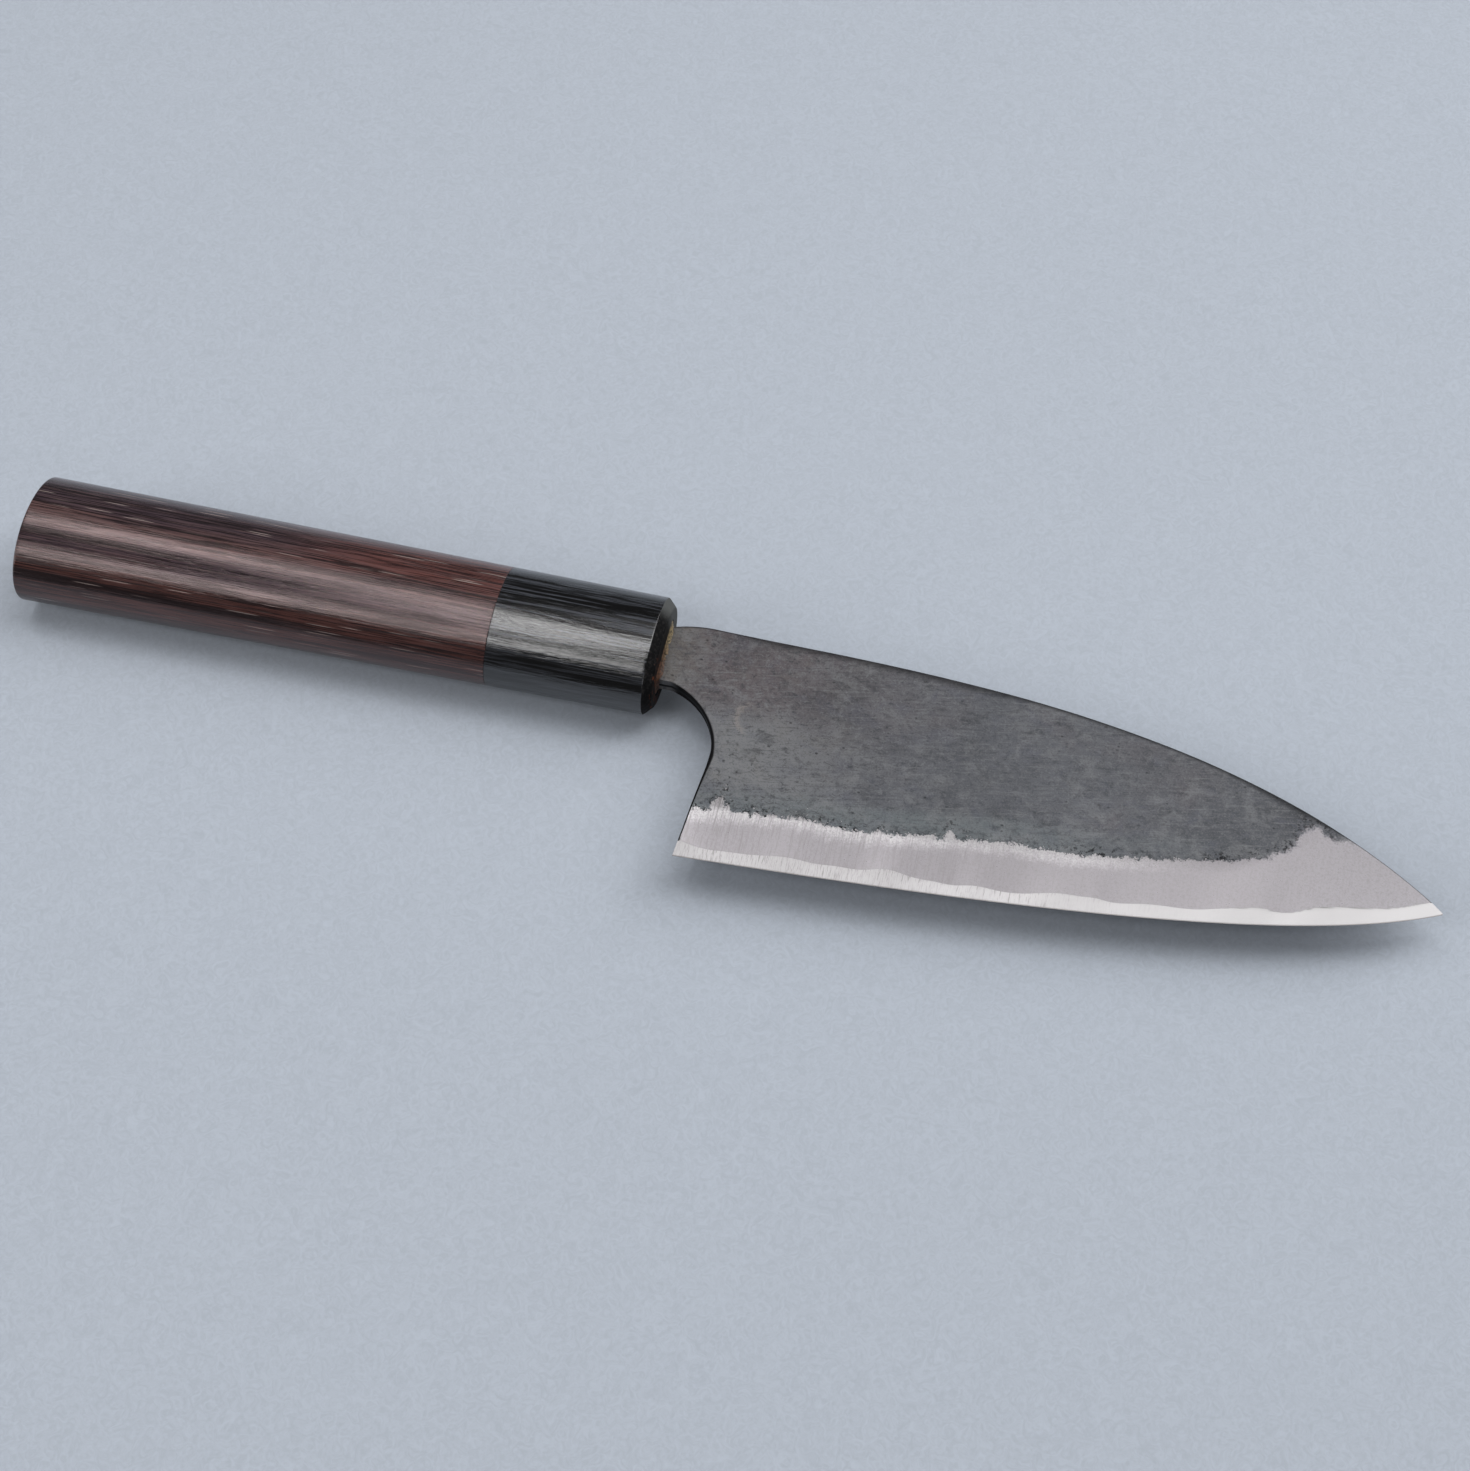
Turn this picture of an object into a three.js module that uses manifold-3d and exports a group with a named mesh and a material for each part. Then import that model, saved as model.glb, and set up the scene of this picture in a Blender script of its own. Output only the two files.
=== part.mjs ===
// A gyuto kitchen knife with a three-layer blade and an oval wooden handle, in millimetres.
// The knife lies on its left side: +X runs from the butt to the tip, +Y from the edge to the spine, +Z up.
// Inside the knife group the ferrule's mouth is the plane x = 0 and the handle's axis is the line y = 0, z = 0.
import * as THREE from "three";
import { mergeVertices } from "three/addons/utils/BufferGeometryUtils.js";
import Module from "manifold-3d";

const wasm = await Module();
wasm.setup();
const radians = THREE.MathUtils.degToRad;

// Handle: a straight oval taper from the butt to the mouth of the ferrule
const handleLength = 124;
const buttHeight = 26;
const buttThickness = 19.8;
const buttEasing = 0.4;
const mouthHeight = 24.1;
const mouthThickness = 17.8;
const mouthChamfer = 1.6;
const ferruleLength = 31.7;
const mouthWall = 8; // solid wood between the mouth and the dowel

// Tang and what holds it
const tangLength = 78;
const tangRootHeight = 10; // at the back of the mouth wall
const tangEndHeight = 5.5;
const tangEndThickness = 2;
const dowelWall = 0.85; // wood left outside the corners of the dowel's slot
const dowelInGrip = 20;
const beddingWall = 1.5;
const sealWall = 0.8;
const sealDepth = 2.5;
const sealProud = 0.4;
const glueGap = 0.25; // between any two glued faces

// Blade outline, measured from the mouth and from the handle's axis
const bladeLength = 135.2; // heel to tip
const heelSetback = 11.4;
const heelDrop = 41;
const tipDrop = 22.3;
const shoulderSetback = 8;
const shoulderRise = 7.45;
const neckHeight = 12.2;
const neckLength = 2.9; // straight underside before the choil
const choilRadius = 14.5;
const choilStart = radians(73.5);
const edgeHeelAngle = radians(2.5);
const edgeHeelRun = 78; // how far the edge keeps its heel direction
const edgeTipAngle = radians(25.6);
const edgeTipRun = 22;
const spineShoulderAngle = radians(1.7);
const spineShoulderRun = 34.6;
const spineTipAngle = radians(38.4);
const spineTipRun = 53;

// Blade section
const neckThickness = 3.4; // on the handle's axis at the mouth
const heelThickness = 2.6; // where the bevel starts above the heel
const tipThickness = 0.9; // of the forged flats carried on to the tip
const coreThickness = 0.6;
const edgeThickness = 0.08;
const bevelWidth = 10.8;
const sweepStart = 42; // behind the tip, where the bevel begins to sweep up to the spine
const sweepRun = 18;
const sweepRise = 9;
const coreShow = 2.6; // mean height of the bare core above the edge
const longWave = { length: 27, height: 0.24, phase: radians(-134) };
const shortWave = { length: 16, height: 0.31, phase: radians(-15) };

// Facets
const ovalSides = 48;
const rodSides = 32;
const curveSteps = 40;
const overrun = 3; // how far a cutter runs past the face that it cuts

// Points and curves of the outline
const heel = new THREE.Vector2(heelSetback, -heelDrop);
const tip = new THREE.Vector2(heelSetback + bladeLength, -tipDrop);
const shoulder = new THREE.Vector2(shoulderSetback, shoulderRise);
const choilCentre = new THREE.Vector2(neckLength, -neckHeight / 2);
choilCentre.sub(heading(choilStart, choilRadius));
const edgeCurve = new THREE.CubicBezierCurve(
  heel,
  heel.clone().add(heading(edgeHeelAngle, edgeHeelRun)),
  tip.clone().sub(heading(edgeTipAngle, edgeTipRun)),
  tip,
);
const spineCurve = new THREE.CubicBezierCurve(
  tip,
  tip.clone().sub(heading(-spineTipAngle, spineTipRun)),
  shoulder.clone().add(heading(-spineShoulderAngle, spineShoulderRun)),
  shoulder,
);

// A step of a given length in a given direction
function heading(angle, length) {
  return new THREE.Vector2(length * Math.cos(angle), length * Math.sin(angle));
}

// A manifold solid from a closed three.js geometry
function solidFrom(geometry) {
  const bare = geometry.clone();
  bare.deleteAttribute("normal");
  bare.deleteAttribute("uv");
  const merged = mergeVertices(bare);
  const vertProperties = Float32Array.from(merged.getAttribute("position").array);
  const triVerts = Uint32Array.from(merged.getIndex().array);
  return new wasm.Manifold(new wasm.Mesh({ numProp: 3, vertProperties, triVerts }));
}

// A three.js geometry from a manifold solid
function geometryFrom(solid) {
  const mesh = solid.getMesh();
  const geometry = new THREE.BufferGeometry();
  geometry.setAttribute("position", new THREE.BufferAttribute(mesh.vertProperties, 3));
  geometry.setIndex(new THREE.BufferAttribute(mesh.triVerts, 1));
  geometry.computeVertexNormals();
  return geometry;
}

// A closed skin through rings that follow each other along +X
// Each ring is a list of points, counter-clockwise as seen from +X, whose first point sees all the others.
function loft(rings) {
  const count = rings[0].length;
  const last = (rings.length - 1) * count;
  const index = [];
  for (let start = 0; start < last; start += count) {
    for (let side = 0; side < count; side += 1) {
      const here = start + side;
      const beside = start + ((side + 1) % count);
      index.push(here, beside, here + count);
      index.push(beside, beside + count, here + count);
    }
  }
  for (let side = 1; side + 1 < count; side += 1) {
    index.push(0, side + 1, side);
    index.push(last, last + side, last + side + 1);
  }
  const geometry = new THREE.BufferGeometry().setFromPoints(rings.flat());
  geometry.setIndex(index);
  return solidFrom(geometry);
}

function ovalRing(x, height, thickness) {
  const oval = new THREE.EllipseCurve(0, 0, height / 2, thickness / 2);
  const points = oval.getPoints(ovalSides).slice(0, ovalSides);
  return points.map((point) => new THREE.Vector3(x, point.x, point.y));
}

function boxRing(x, height, thickness) {
  const y = height / 2;
  const z = thickness / 2;
  const corners = [[-y, z], [-y, -z], [y, -z], [y, z]];
  return corners.map((corner) => new THREE.Vector3(x, ...corner));
}

function box(back, front, height, thickness) {
  return loft([boxRing(back, height, thickness), boxRing(front, height, thickness)]);
}

function rod(back, front, diameter) {
  const geometry = new THREE.CylinderGeometry(diameter / 2, diameter / 2, front - back, rodSides);
  geometry.rotateZ(-Math.PI / 2);
  geometry.translate((front + back) / 2, 0, 0);
  return solidFrom(geometry);
}

// Blade and tang seen from the side
function bladeOutline() {
  const toHeel = heel.clone().sub(choilCentre);
  const choilEnd = toHeel.angle() - 2 * Math.PI + Math.acos(choilRadius / toHeel.length());
  const outline = new THREE.Shape();
  outline.moveTo(-tangLength, -tangEndHeight / 2);
  outline.lineTo(-mouthWall, -tangRootHeight / 2);
  outline.lineTo(0, -neckHeight / 2);
  outline.absarc(choilCentre.x, choilCentre.y, choilRadius, choilStart, choilEnd, true);
  outline.lineTo(heel.x, heel.y);
  outline.bezierCurveTo(...edgeCurve.v1, ...edgeCurve.v2, ...edgeCurve.v3);
  outline.bezierCurveTo(...spineCurve.v1, ...spineCurve.v2, ...spineCurve.v3);
  outline.quadraticCurveTo(shoulderSetback / 2, shoulderRise, 0, neckHeight / 2);
  outline.lineTo(-mouthWall, tangRootHeight / 2);
  outline.lineTo(-tangLength, tangEndHeight / 2);
  return outline;
}

function plate(low, high) {
  const settings = { depth: high - low, bevelEnabled: false, curveSegments: curveSteps };
  const geometry = new THREE.ExtrudeGeometry(bladeOutline(), settings);
  geometry.translate(0, 0, low);
  return solidFrom(geometry);
}

// Half thickness of the forged flats: one plane through the neck, heel and tip thicknesses
const heelStart = { x: heel.x, y: heel.y + bevelWidth, loss: (heelThickness - neckThickness) / 2 };
const tipEnd = { x: tip.x, y: tip.y, loss: (tipThickness - neckThickness) / 2 };
const spread = heelStart.x * tipEnd.y - tipEnd.x * heelStart.y;
const flatSlopeX = (heelStart.loss * tipEnd.y - tipEnd.loss * heelStart.y) / spread;
const flatSlopeY = (heelStart.x * tipEnd.loss - tipEnd.x * heelStart.loss) / spread;
const tangSlope = (neckThickness - tangEndThickness) / 2 / tangLength;

function flatAt(x, y) {
  return neckThickness / 2 + flatSlopeX * x + flatSlopeY * y;
}

function tangFlatAt(x, y) {
  return neckThickness / 2 + tangSlope * x + flatSlopeY * y;
}

// Height of the bare core above the edge, with the slow wave that forging leaves in the layers
function coreShowAt(x) {
  const waves = [longWave, shortWave].map(
    (wave) => wave.height * Math.sin((2 * Math.PI * (x - heelSetback)) / wave.length + wave.phase),
  );
  return coreShow + waves[0] + waves[1];
}

// Height of the bevel above the edge, sweeping up to the spine before the tip
function bevelWidthAt(x) {
  const swept = Math.max(0, x - (tip.x - sweepStart)) / sweepRun;
  return bevelWidth + sweepRise * swept ** 2;
}

// Everything above a sloping plane
function above(heightAt) {
  const top = neckThickness + overrun;
  const far = heelDrop + overrun;
  const ends = [-tangLength - overrun, tip.x + overrun];
  const rings = ends.map((x) => [
    new THREE.Vector3(x, -far, top),
    new THREE.Vector3(x, -far, heightAt(x, -far)),
    new THREE.Vector3(x, far, heightAt(x, far)),
    new THREE.Vector3(x, far, top),
  ]);
  return loft(rings);
}

// What grinding takes off one side: the edge bevel on the core, then the wide bevel up to the flats
function groundAway(side) {
  const top = neckThickness + overrun;
  const rings = edgeCurve.getPoints(curveSteps).map((point) => {
    const show = coreShowAt(point.x);
    const width = bevelWidthAt(point.x);
    const edgeHalf = edgeThickness / 2;
    const coreHalf = coreThickness / 2;
    const flatHalf = flatAt(point.x, point.y + width);
    const edgeSlope = (coreHalf - edgeHalf) / show;
    const bevelSlope = (flatHalf - coreHalf) / (width - show);
    const section = [
      [-overrun, top],
      [-overrun, edgeHalf - overrun * edgeSlope],
      [show, coreHalf],
      [width + overrun, flatHalf + overrun * bevelSlope],
      [width + overrun, top],
    ];
    const ring = section.map(([rise, z]) => new THREE.Vector3(point.x, point.y + rise, side * z));
    return side > 0 ? ring : ring.reverse();
  });
  const moved = (ring, step) => ring.map((point) => point.clone().setX(point.x + step));
  return loft([moved(rings[0], -overrun), ...rings, moved(rings.at(-1), overrun)]);
}

function coreSteel() {
  const blank = plate(-coreThickness / 2, coreThickness / 2);
  return blank.subtract(groundAway(1)).subtract(groundAway(-1));
}

function cladding() {
  const blank = plate(coreThickness / 2, neckThickness);
  return blank.subtract(above(flatAt)).subtract(above(tangFlatAt)).subtract(groundAway(1));
}

// Sizes inside the handle, all taken from the tang
function tangHeightAt(x) {
  return THREE.MathUtils.mapLinear(x, -mouthWall, -tangLength, tangRootHeight, tangEndHeight);
}

function tangThicknessAt(x) {
  return neckThickness + 2 * tangSlope * x;
}

const dowelFront = -mouthWall - glueGap;
const dowelBack = -ferruleLength - dowelInGrip;
const slotHeight = tangRootHeight + 2 * glueGap;
const slotThickness = tangThicknessAt(-mouthWall) + 2 * glueGap;
const dowelDiameter = Math.hypot(slotHeight, slotThickness) + 2 * dowelWall;
const beddingFront = dowelBack - glueGap;
const beddingBack = -tangLength - glueGap - beddingWall;
const beddingHeight = tangHeightAt(beddingFront) + 2 * (glueGap + beddingWall);
const beddingThickness = tangThicknessAt(beddingFront) + 2 * (glueGap + beddingWall);
const mouthSlotHeight = neckHeight + 2 * glueGap;
const mouthSlotThickness = neckThickness + 2 * glueGap;
const sealHeight = mouthSlotHeight + 2 * sealWall;
const sealThickness = mouthSlotThickness + 2 * sealWall;

// Handle oval at a place along its taper, drawn in all round by an inset
function handleRing(x, inset = 0) {
  const height = THREE.MathUtils.mapLinear(x, -handleLength, 0, buttHeight, mouthHeight);
  const thickness = THREE.MathUtils.mapLinear(x, -handleLength, 0, buttThickness, mouthThickness);
  return ovalRing(x, height - 2 * inset, thickness - 2 * inset);
}

function handleBody() {
  const butt = -handleLength;
  const blank = loft([
    handleRing(butt, buttEasing),
    handleRing(butt + buttEasing),
    handleRing(-ferruleLength),
  ]);
  const bore = rod(dowelBack - glueGap, -ferruleLength + overrun, dowelDiameter + 2 * glueGap);
  const mortise = box(
    beddingBack - glueGap,
    dowelBack,
    beddingHeight + 2 * glueGap,
    beddingThickness + 2 * glueGap,
  );
  return blank.subtract(bore).subtract(mortise);
}

function ferrule() {
  const blank = loft([
    handleRing(-ferruleLength),
    handleRing(-mouthChamfer),
    handleRing(0, mouthChamfer),
  ]);
  const bore = rod(-ferruleLength - overrun, -mouthWall, dowelDiameter + 2 * glueGap);
  const slot = box(-mouthWall - overrun, overrun, mouthSlotHeight, mouthSlotThickness);
  const pocket = box(-sealDepth, overrun, sealHeight + 2 * glueGap, sealThickness + 2 * glueGap);
  return blank.subtract(bore).subtract(slot).subtract(pocket);
}

function ferruleDowel() {
  const slot = box(dowelBack - overrun, dowelFront + overrun, slotHeight, slotThickness);
  return rod(dowelBack, dowelFront, dowelDiameter).subtract(slot);
}

function tangBedding() {
  const rings = [-tangLength - glueGap, beddingFront + overrun].map((x) =>
    boxRing(x, tangHeightAt(x) + 2 * glueGap, tangThicknessAt(x) + 2 * glueGap),
  );
  return box(beddingBack, beddingFront, beddingHeight, beddingThickness).subtract(loft(rings));
}

function mouthSeal() {
  const back = -sealDepth + glueGap;
  const hole = box(back - overrun, sealProud + overrun, mouthSlotHeight, mouthSlotThickness);
  return box(back, sealProud, sealHeight, sealThickness).subtract(hole);
}

// Finishes
const brightSteel = { color: 0xd4d2d2, roughness: 0.35, metalness: 0.9 };
const forgedIron = { color: 0x4a4e4f, roughness: 0.6, metalness: 0.7 };
const rosewood = { color: 0x4b2c28, roughness: 0.35, metalness: 0 };
const blackWood = { color: 0x232324, roughness: 0.3, metalness: 0 };
const paleWood = { color: 0xc9a877, roughness: 0.7, metalness: 0 };
const clearResin = { color: 0xc4ae84, roughness: 0.3, metalness: 0 };
const amberResin = { color: 0x85552a, roughness: 0.35, metalness: 0 };

// Assembly
const knife = new THREE.Group();

function addPiece(name, solid, finish) {
  const piece = new THREE.Mesh(geometryFrom(solid), new THREE.MeshStandardMaterial(finish));
  piece.name = name;
  knife.add(piece);
  return piece;
}

addPiece("core_steel", coreSteel(), brightSteel);
addPiece("right_cladding", cladding(), forgedIron);
addPiece("left_cladding", cladding(), forgedIron).scale.z = -1;
addPiece("handle_body", handleBody(), rosewood);
addPiece("ferrule", ferrule(), blackWood);
addPiece("ferrule_dowel", ferruleDowel(), paleWood);
addPiece("tang_bedding", tangBedding(), clearResin);
addPiece("mouth_seal", mouthSeal(), amberResin);

// The origin is the middle of the surface that the knife lies on
const extent = new THREE.Box3().setFromObject(knife);
const middle = extent.getCenter(new THREE.Vector3());
knife.position.set(-middle.x, -middle.y, -extent.min.z);

export default knife;
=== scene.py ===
"""The looks of a forged kitchen knife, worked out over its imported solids.

The knife's own axes start at the mouth of the ferrule: x runs to the tip, y to the spine and z up out of the
right face. Every form is computed there, in metres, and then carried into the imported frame. The finishes read
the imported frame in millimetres: there x is about -135 at the butt, -11 at the mouth, 0 at the heel and 135 at
the tip, and y is 14 on the handle's axis.
"""

import logging
import math
from dataclasses import dataclass, field
from enum import Enum
from functools import reduce

import bmesh
import bpy
import numpy as np
from mathutils import Matrix, Vector


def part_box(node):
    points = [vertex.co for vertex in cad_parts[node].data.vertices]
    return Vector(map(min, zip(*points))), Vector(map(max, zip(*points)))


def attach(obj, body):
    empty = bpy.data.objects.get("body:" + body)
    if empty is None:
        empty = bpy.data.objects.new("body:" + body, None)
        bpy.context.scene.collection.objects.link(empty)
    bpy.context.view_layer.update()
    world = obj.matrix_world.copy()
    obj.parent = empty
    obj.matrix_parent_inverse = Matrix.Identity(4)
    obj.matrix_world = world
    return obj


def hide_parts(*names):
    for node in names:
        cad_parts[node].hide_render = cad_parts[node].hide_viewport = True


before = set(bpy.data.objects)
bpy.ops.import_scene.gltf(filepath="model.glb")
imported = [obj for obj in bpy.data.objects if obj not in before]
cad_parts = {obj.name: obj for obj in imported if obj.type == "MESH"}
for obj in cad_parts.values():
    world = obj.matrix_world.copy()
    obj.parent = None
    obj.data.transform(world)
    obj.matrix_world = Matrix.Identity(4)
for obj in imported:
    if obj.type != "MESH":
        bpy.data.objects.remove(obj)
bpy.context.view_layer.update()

MM = 0.001
ROOT = "root"
LOG = logging.getLogger("knife")
MERGE_GAP = 0.0005 * MM
SPLINTER = 0.0002 * MM
SHARP_ANGLE = math.radians(32)
LATTICE = 64

Triple = tuple[float, float, float]
Colour = Triple
Table = tuple[tuple[float, float], ...]
Socket = bpy.types.NodeSocket
Value = float | Colour | Socket


class Side(Enum):
    """The two faces of the blade, by the sign of z."""

    RIGHT = 1
    LEFT = -1

    @property
    def node(self) -> str:
        """Name of the soft iron solid on this face."""
        return f"{self.name.lower()}_cladding"

    @property
    def seed(self) -> int:
        """Picks this face's own unevenness."""
        return 11 if self is Side.RIGHT else 23


class Ends(Enum):
    """How a skin of rings is closed at its first and last ring."""

    CAPPED = "flat faces"
    POLES = "single points"
    LOOPED = "last ring joins the first"


def heading(degrees: float, length: float) -> np.ndarray:
    """A step of a given length in a given direction of the x, y plane."""
    return length * np.array([math.cos(math.radians(degrees)), math.sin(math.radians(degrees))])


def bezier(points: np.ndarray, t: np.ndarray) -> np.ndarray:
    """Cubic curve: the four points weighted by the Bernstein terms of t.

    Args:
        points: four control points, shape (4, 2).
        t: places along the curve, 0 to 1.

    Returns:
        Points of the curve, shape (len(t), 2).
    """
    s = 1 - t
    weights = np.stack([s**3, 3 * s**2 * t, 3 * s * t**2, t**3], axis=1)
    return weights @ points


def smooth_line(points: np.ndarray, x: np.ndarray) -> np.ndarray:
    """Height of a smooth line through chosen points, by cubic pieces whose slopes come from the neighbours.

    Args:
        points: (x, y) pairs with rising x, shape (n, 2).
        x: where the line is asked for; outside the points it runs on level.

    Returns:
        Heights in the shape of x.
    """
    px, py = points[:, 0], points[:, 1]
    slopes = np.gradient(py, px)
    k = np.clip(np.searchsorted(px, x) - 1, 0, len(px) - 2)
    width = px[k + 1] - px[k]
    t = np.clip((x - px[k]) / width, 0, 1)
    start = (1 + 2 * t) * (1 - t) ** 2 * py[k] + t * (1 - t) ** 2 * width * slopes[k]
    end = t**2 * (3 - 2 * t) * py[k + 1] + t**2 * (t - 1) * width * slopes[k + 1]
    return start + end


def read_table(pairs: Table, at: np.ndarray) -> np.ndarray:
    """Value at a place, on straight lines between chosen pairs and level beyond them.

    Args:
        pairs: place and value of each pair, in millimetres.
        at: where the value is asked for, in metres.

    Returns:
        Values in metres, in the shape of at.
    """
    places, values = np.array(pairs).T * MM
    return np.interp(at, places, values)


def value_noise(x: np.ndarray, y: np.ndarray, cell: float, seed: int) -> np.ndarray:
    """Smooth random heights in -1 to 1: random numbers on a square lattice, eased between its points.

    Args:
        x: first coordinate.
        y: second coordinate, same shape.
        cell: lattice spacing.
        seed: picks the lattice.

    Returns:
        Heights in the shape of x.
    """
    table = np.random.default_rng(seed).uniform(-1, 1, (LATTICE, LATTICE))
    column, row = np.floor(x / cell).astype(int), np.floor(y / cell).astype(int)
    s, t = x / cell - column, y / cell - row
    s, t = s * s * (3 - 2 * s), t * t * (3 - 2 * t)
    left, right = column % LATTICE, (column + 1) % LATTICE
    low, high = row % LATTICE, (row + 1) % LATTICE
    near = (1 - s) * table[left, low] + s * table[right, low]
    far = (1 - s) * table[left, high] + s * table[right, high]
    return (1 - t) * near + t * far


def eased_drop(distance: np.ndarray, radius: np.ndarray) -> np.ndarray:
    """How far a rounded corner falls below the flat: a quarter circle over one radius from the edge.

    Args:
        distance: distance in from the edge.
        radius: corner radius, broadcast to distance; zero leaves the corner sharp.

    Returns:
        The fall, from the whole radius at the edge to zero one radius in.
    """
    inward = np.clip(radius - distance, 0, None)
    return radius - np.sqrt(np.clip(radius**2 - inward**2, 0, None))


def bells(along: np.ndarray, terms: tuple[Triple, ...]) -> np.ndarray:
    """Sum of bell-shaped rises: each falls off with the square of the distance from its place.

    Args:
        along: where the sum is asked for.
        terms: place, rise and width of each bell, in the units of along.

    Returns:
        Heights in the shape of along.
    """
    place, rise, width = np.array(terms).T[:, :, None]
    row = np.ravel(along)
    return np.reshape((rise * np.exp(-(((row - place) / width) ** 2))).sum(axis=0), np.shape(along))


def clustered(count: int) -> np.ndarray:
    """Places from 0 to 1 that crowd towards both ends, as a half cosine does."""
    return 0.5 - 0.5 * np.cos(np.linspace(0, math.pi, count))


def stitch(rings: np.ndarray, ends: Ends) -> tuple[np.ndarray, np.ndarray]:
    """Corner lists for a skin of rings, each ring closed on itself.

    Each cell of the grid becomes one four-sided face, and a cap one flat face.

    Args:
        rings: grid of points, shape (rings, sides, 3).
        ends: how the first and last rings are closed.

    Returns:
        Corner indices of all faces in one row, and the number of corners of each face.
    """
    count, sides = rings.shape[:2]
    rows = np.arange(count if ends is Ends.LOOPED else count - 1)
    here, beside = np.arange(sides), (np.arange(sides) + 1) % sides
    below = rows[:, None] * sides
    above = ((rows + 1) % count)[:, None] * sides
    quads = np.stack([below + here, below + beside, above + beside, above + here], axis=-1)
    corners, totals = [quads.reshape(-1)], [np.full(len(rows) * sides, 4)]
    if ends is Ends.CAPPED:
        corners += [here[::-1], (count - 1) * sides + here]
        totals += [np.array([sides, sides])]
    return np.concatenate(corners), np.concatenate(totals)


def skin(
    name: str, rings: np.ndarray, ends: Ends, traits: dict[str, np.ndarray] | None = None
) -> bpy.types.Object:
    """Makes a mesh object from a grid of points.

    Coincident points, such as a ring drawn in to a pole, are merged, and the faces are turned outwards.

    Args:
        name: the piece's name.
        rings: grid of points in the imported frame, shape (rings, sides, 3).
        ends: how the first and last rings are closed.
        traits: named point values in the shape (rings, sides), read by the finish.

    Returns:
        The new object, at the origin.
    """
    corners, totals = stitch(rings, ends)
    mesh = bpy.data.meshes.new(name)
    mesh.vertices.add(rings.shape[0] * rings.shape[1])
    mesh.vertices.foreach_set("co", rings.astype(np.float32).reshape(-1))
    mesh.loops.add(len(corners))
    mesh.loops.foreach_set("vertex_index", corners.astype(np.int32))
    mesh.polygons.add(len(totals))
    mesh.polygons.foreach_set("loop_start", (np.cumsum(totals) - totals).astype(np.int32))
    for trait, values in (traits or {}).items():
        layer = mesh.attributes.new(trait, "FLOAT", "POINT")
        layer.data.foreach_set("value", values.astype(np.float32).reshape(-1))
    mesh.update(calc_edges=True)
    work = bmesh.new()
    work.from_mesh(mesh)
    bmesh.ops.remove_doubles(work, verts=work.verts, dist=MERGE_GAP)
    bmesh.ops.dissolve_degenerate(work, edges=work.edges, dist=SPLINTER)
    if work.calc_volume(signed=True) < 0:
        bmesh.ops.reverse_faces(work, faces=work.faces)
    work.to_mesh(mesh)
    work.free()
    mesh.shade_smooth()
    mesh.set_sharp_from_angle(angle=SHARP_ANGLE)
    piece = bpy.data.objects.new(name, mesh)
    bpy.context.scene.collection.objects.link(piece)
    return piece


def dress(piece: bpy.types.Object, material: bpy.types.Material, node: str) -> bpy.types.Object:
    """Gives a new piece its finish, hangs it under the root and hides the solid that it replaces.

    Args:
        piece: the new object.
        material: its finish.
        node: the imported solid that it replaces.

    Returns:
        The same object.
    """
    piece.data.materials.append(material)
    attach(piece, ROOT)
    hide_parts(node)
    return piece


def stacked(x: np.ndarray, y: np.ndarray, z: np.ndarray) -> np.ndarray:
    """Rings from one x for each ring and the y and z of their points, shape (rings, sides, 3)."""
    return np.stack([np.broadcast_to(x[:, None], y.shape), y, z], axis=2)


def ovals(x: np.ndarray, height: np.ndarray, thickness: np.ndarray, sides: int) -> np.ndarray:
    """Oval rings across the x axis: half the height times a cosine along y, half the thickness times a sine.

    Args:
        x: place of each ring.
        height: full size along y.
        thickness: full size along z.
        sides: points in each ring.

    Returns:
        Rings, shape (len(x), sides, 3).
    """
    angle = np.linspace(0, 2 * np.pi, sides, endpoint=False)
    x, height, thickness = np.broadcast_arrays(*(np.atleast_1d(value) for value in (x, height, thickness)))
    return stacked(x, height[:, None] / 2 * np.cos(angle), thickness[:, None] / 2 * np.sin(angle))


def slots(
    x: np.ndarray, height: np.ndarray, thickness: np.ndarray, sides: int, power: float = 8.0
) -> np.ndarray:
    """Rectangular rings with softened corners: a ray at each angle, cut where a high-power oval is met.

    Args:
        x: place of each ring.
        height: full size along y.
        thickness: full size along z.
        sides: points in each ring.
        power: the higher, the sharper the corners.

    Returns:
        Rings, shape (len(x), sides, 3).
    """
    angle = np.linspace(0, 2 * np.pi, sides, endpoint=False)
    x, height, thickness = np.broadcast_arrays(*(np.atleast_1d(value) for value in (x, height, thickness)))
    wide = np.abs(np.cos(angle) / (height[:, None] / 2)) ** power
    deep = np.abs(np.sin(angle) / (thickness[:, None] / 2)) ** power
    reach = (wide + deep) ** (-1 / power)
    return stacked(x, reach * np.cos(angle), reach * np.sin(angle))


def between(first: np.ndarray, last: np.ndarray, count: int) -> np.ndarray:
    """Rings spread evenly between two rings, both left out."""
    share = np.linspace(0, 1, count + 2)[1:-1, None, None]
    return first * (1 - share) + last * share


@dataclass(frozen=True)
class Placement:
    """Where the knife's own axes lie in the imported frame."""

    origin: np.ndarray

    @classmethod
    def from_frame(cls) -> "Placement":
        """Reads the mouth plane from the ferrule's box and the handle's axis from the grip's box.

        Returns:
            The placement.
        """
        grip_low, grip_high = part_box("handle_body")
        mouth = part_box("ferrule")[1].x
        return cls(np.array([mouth, (grip_low.y + grip_high.y) / 2, (grip_low.z + grip_high.z) / 2]))

    def carry(self, points: np.ndarray) -> np.ndarray:
        """Carries points from the knife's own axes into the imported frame."""
        return points + self.origin


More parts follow.
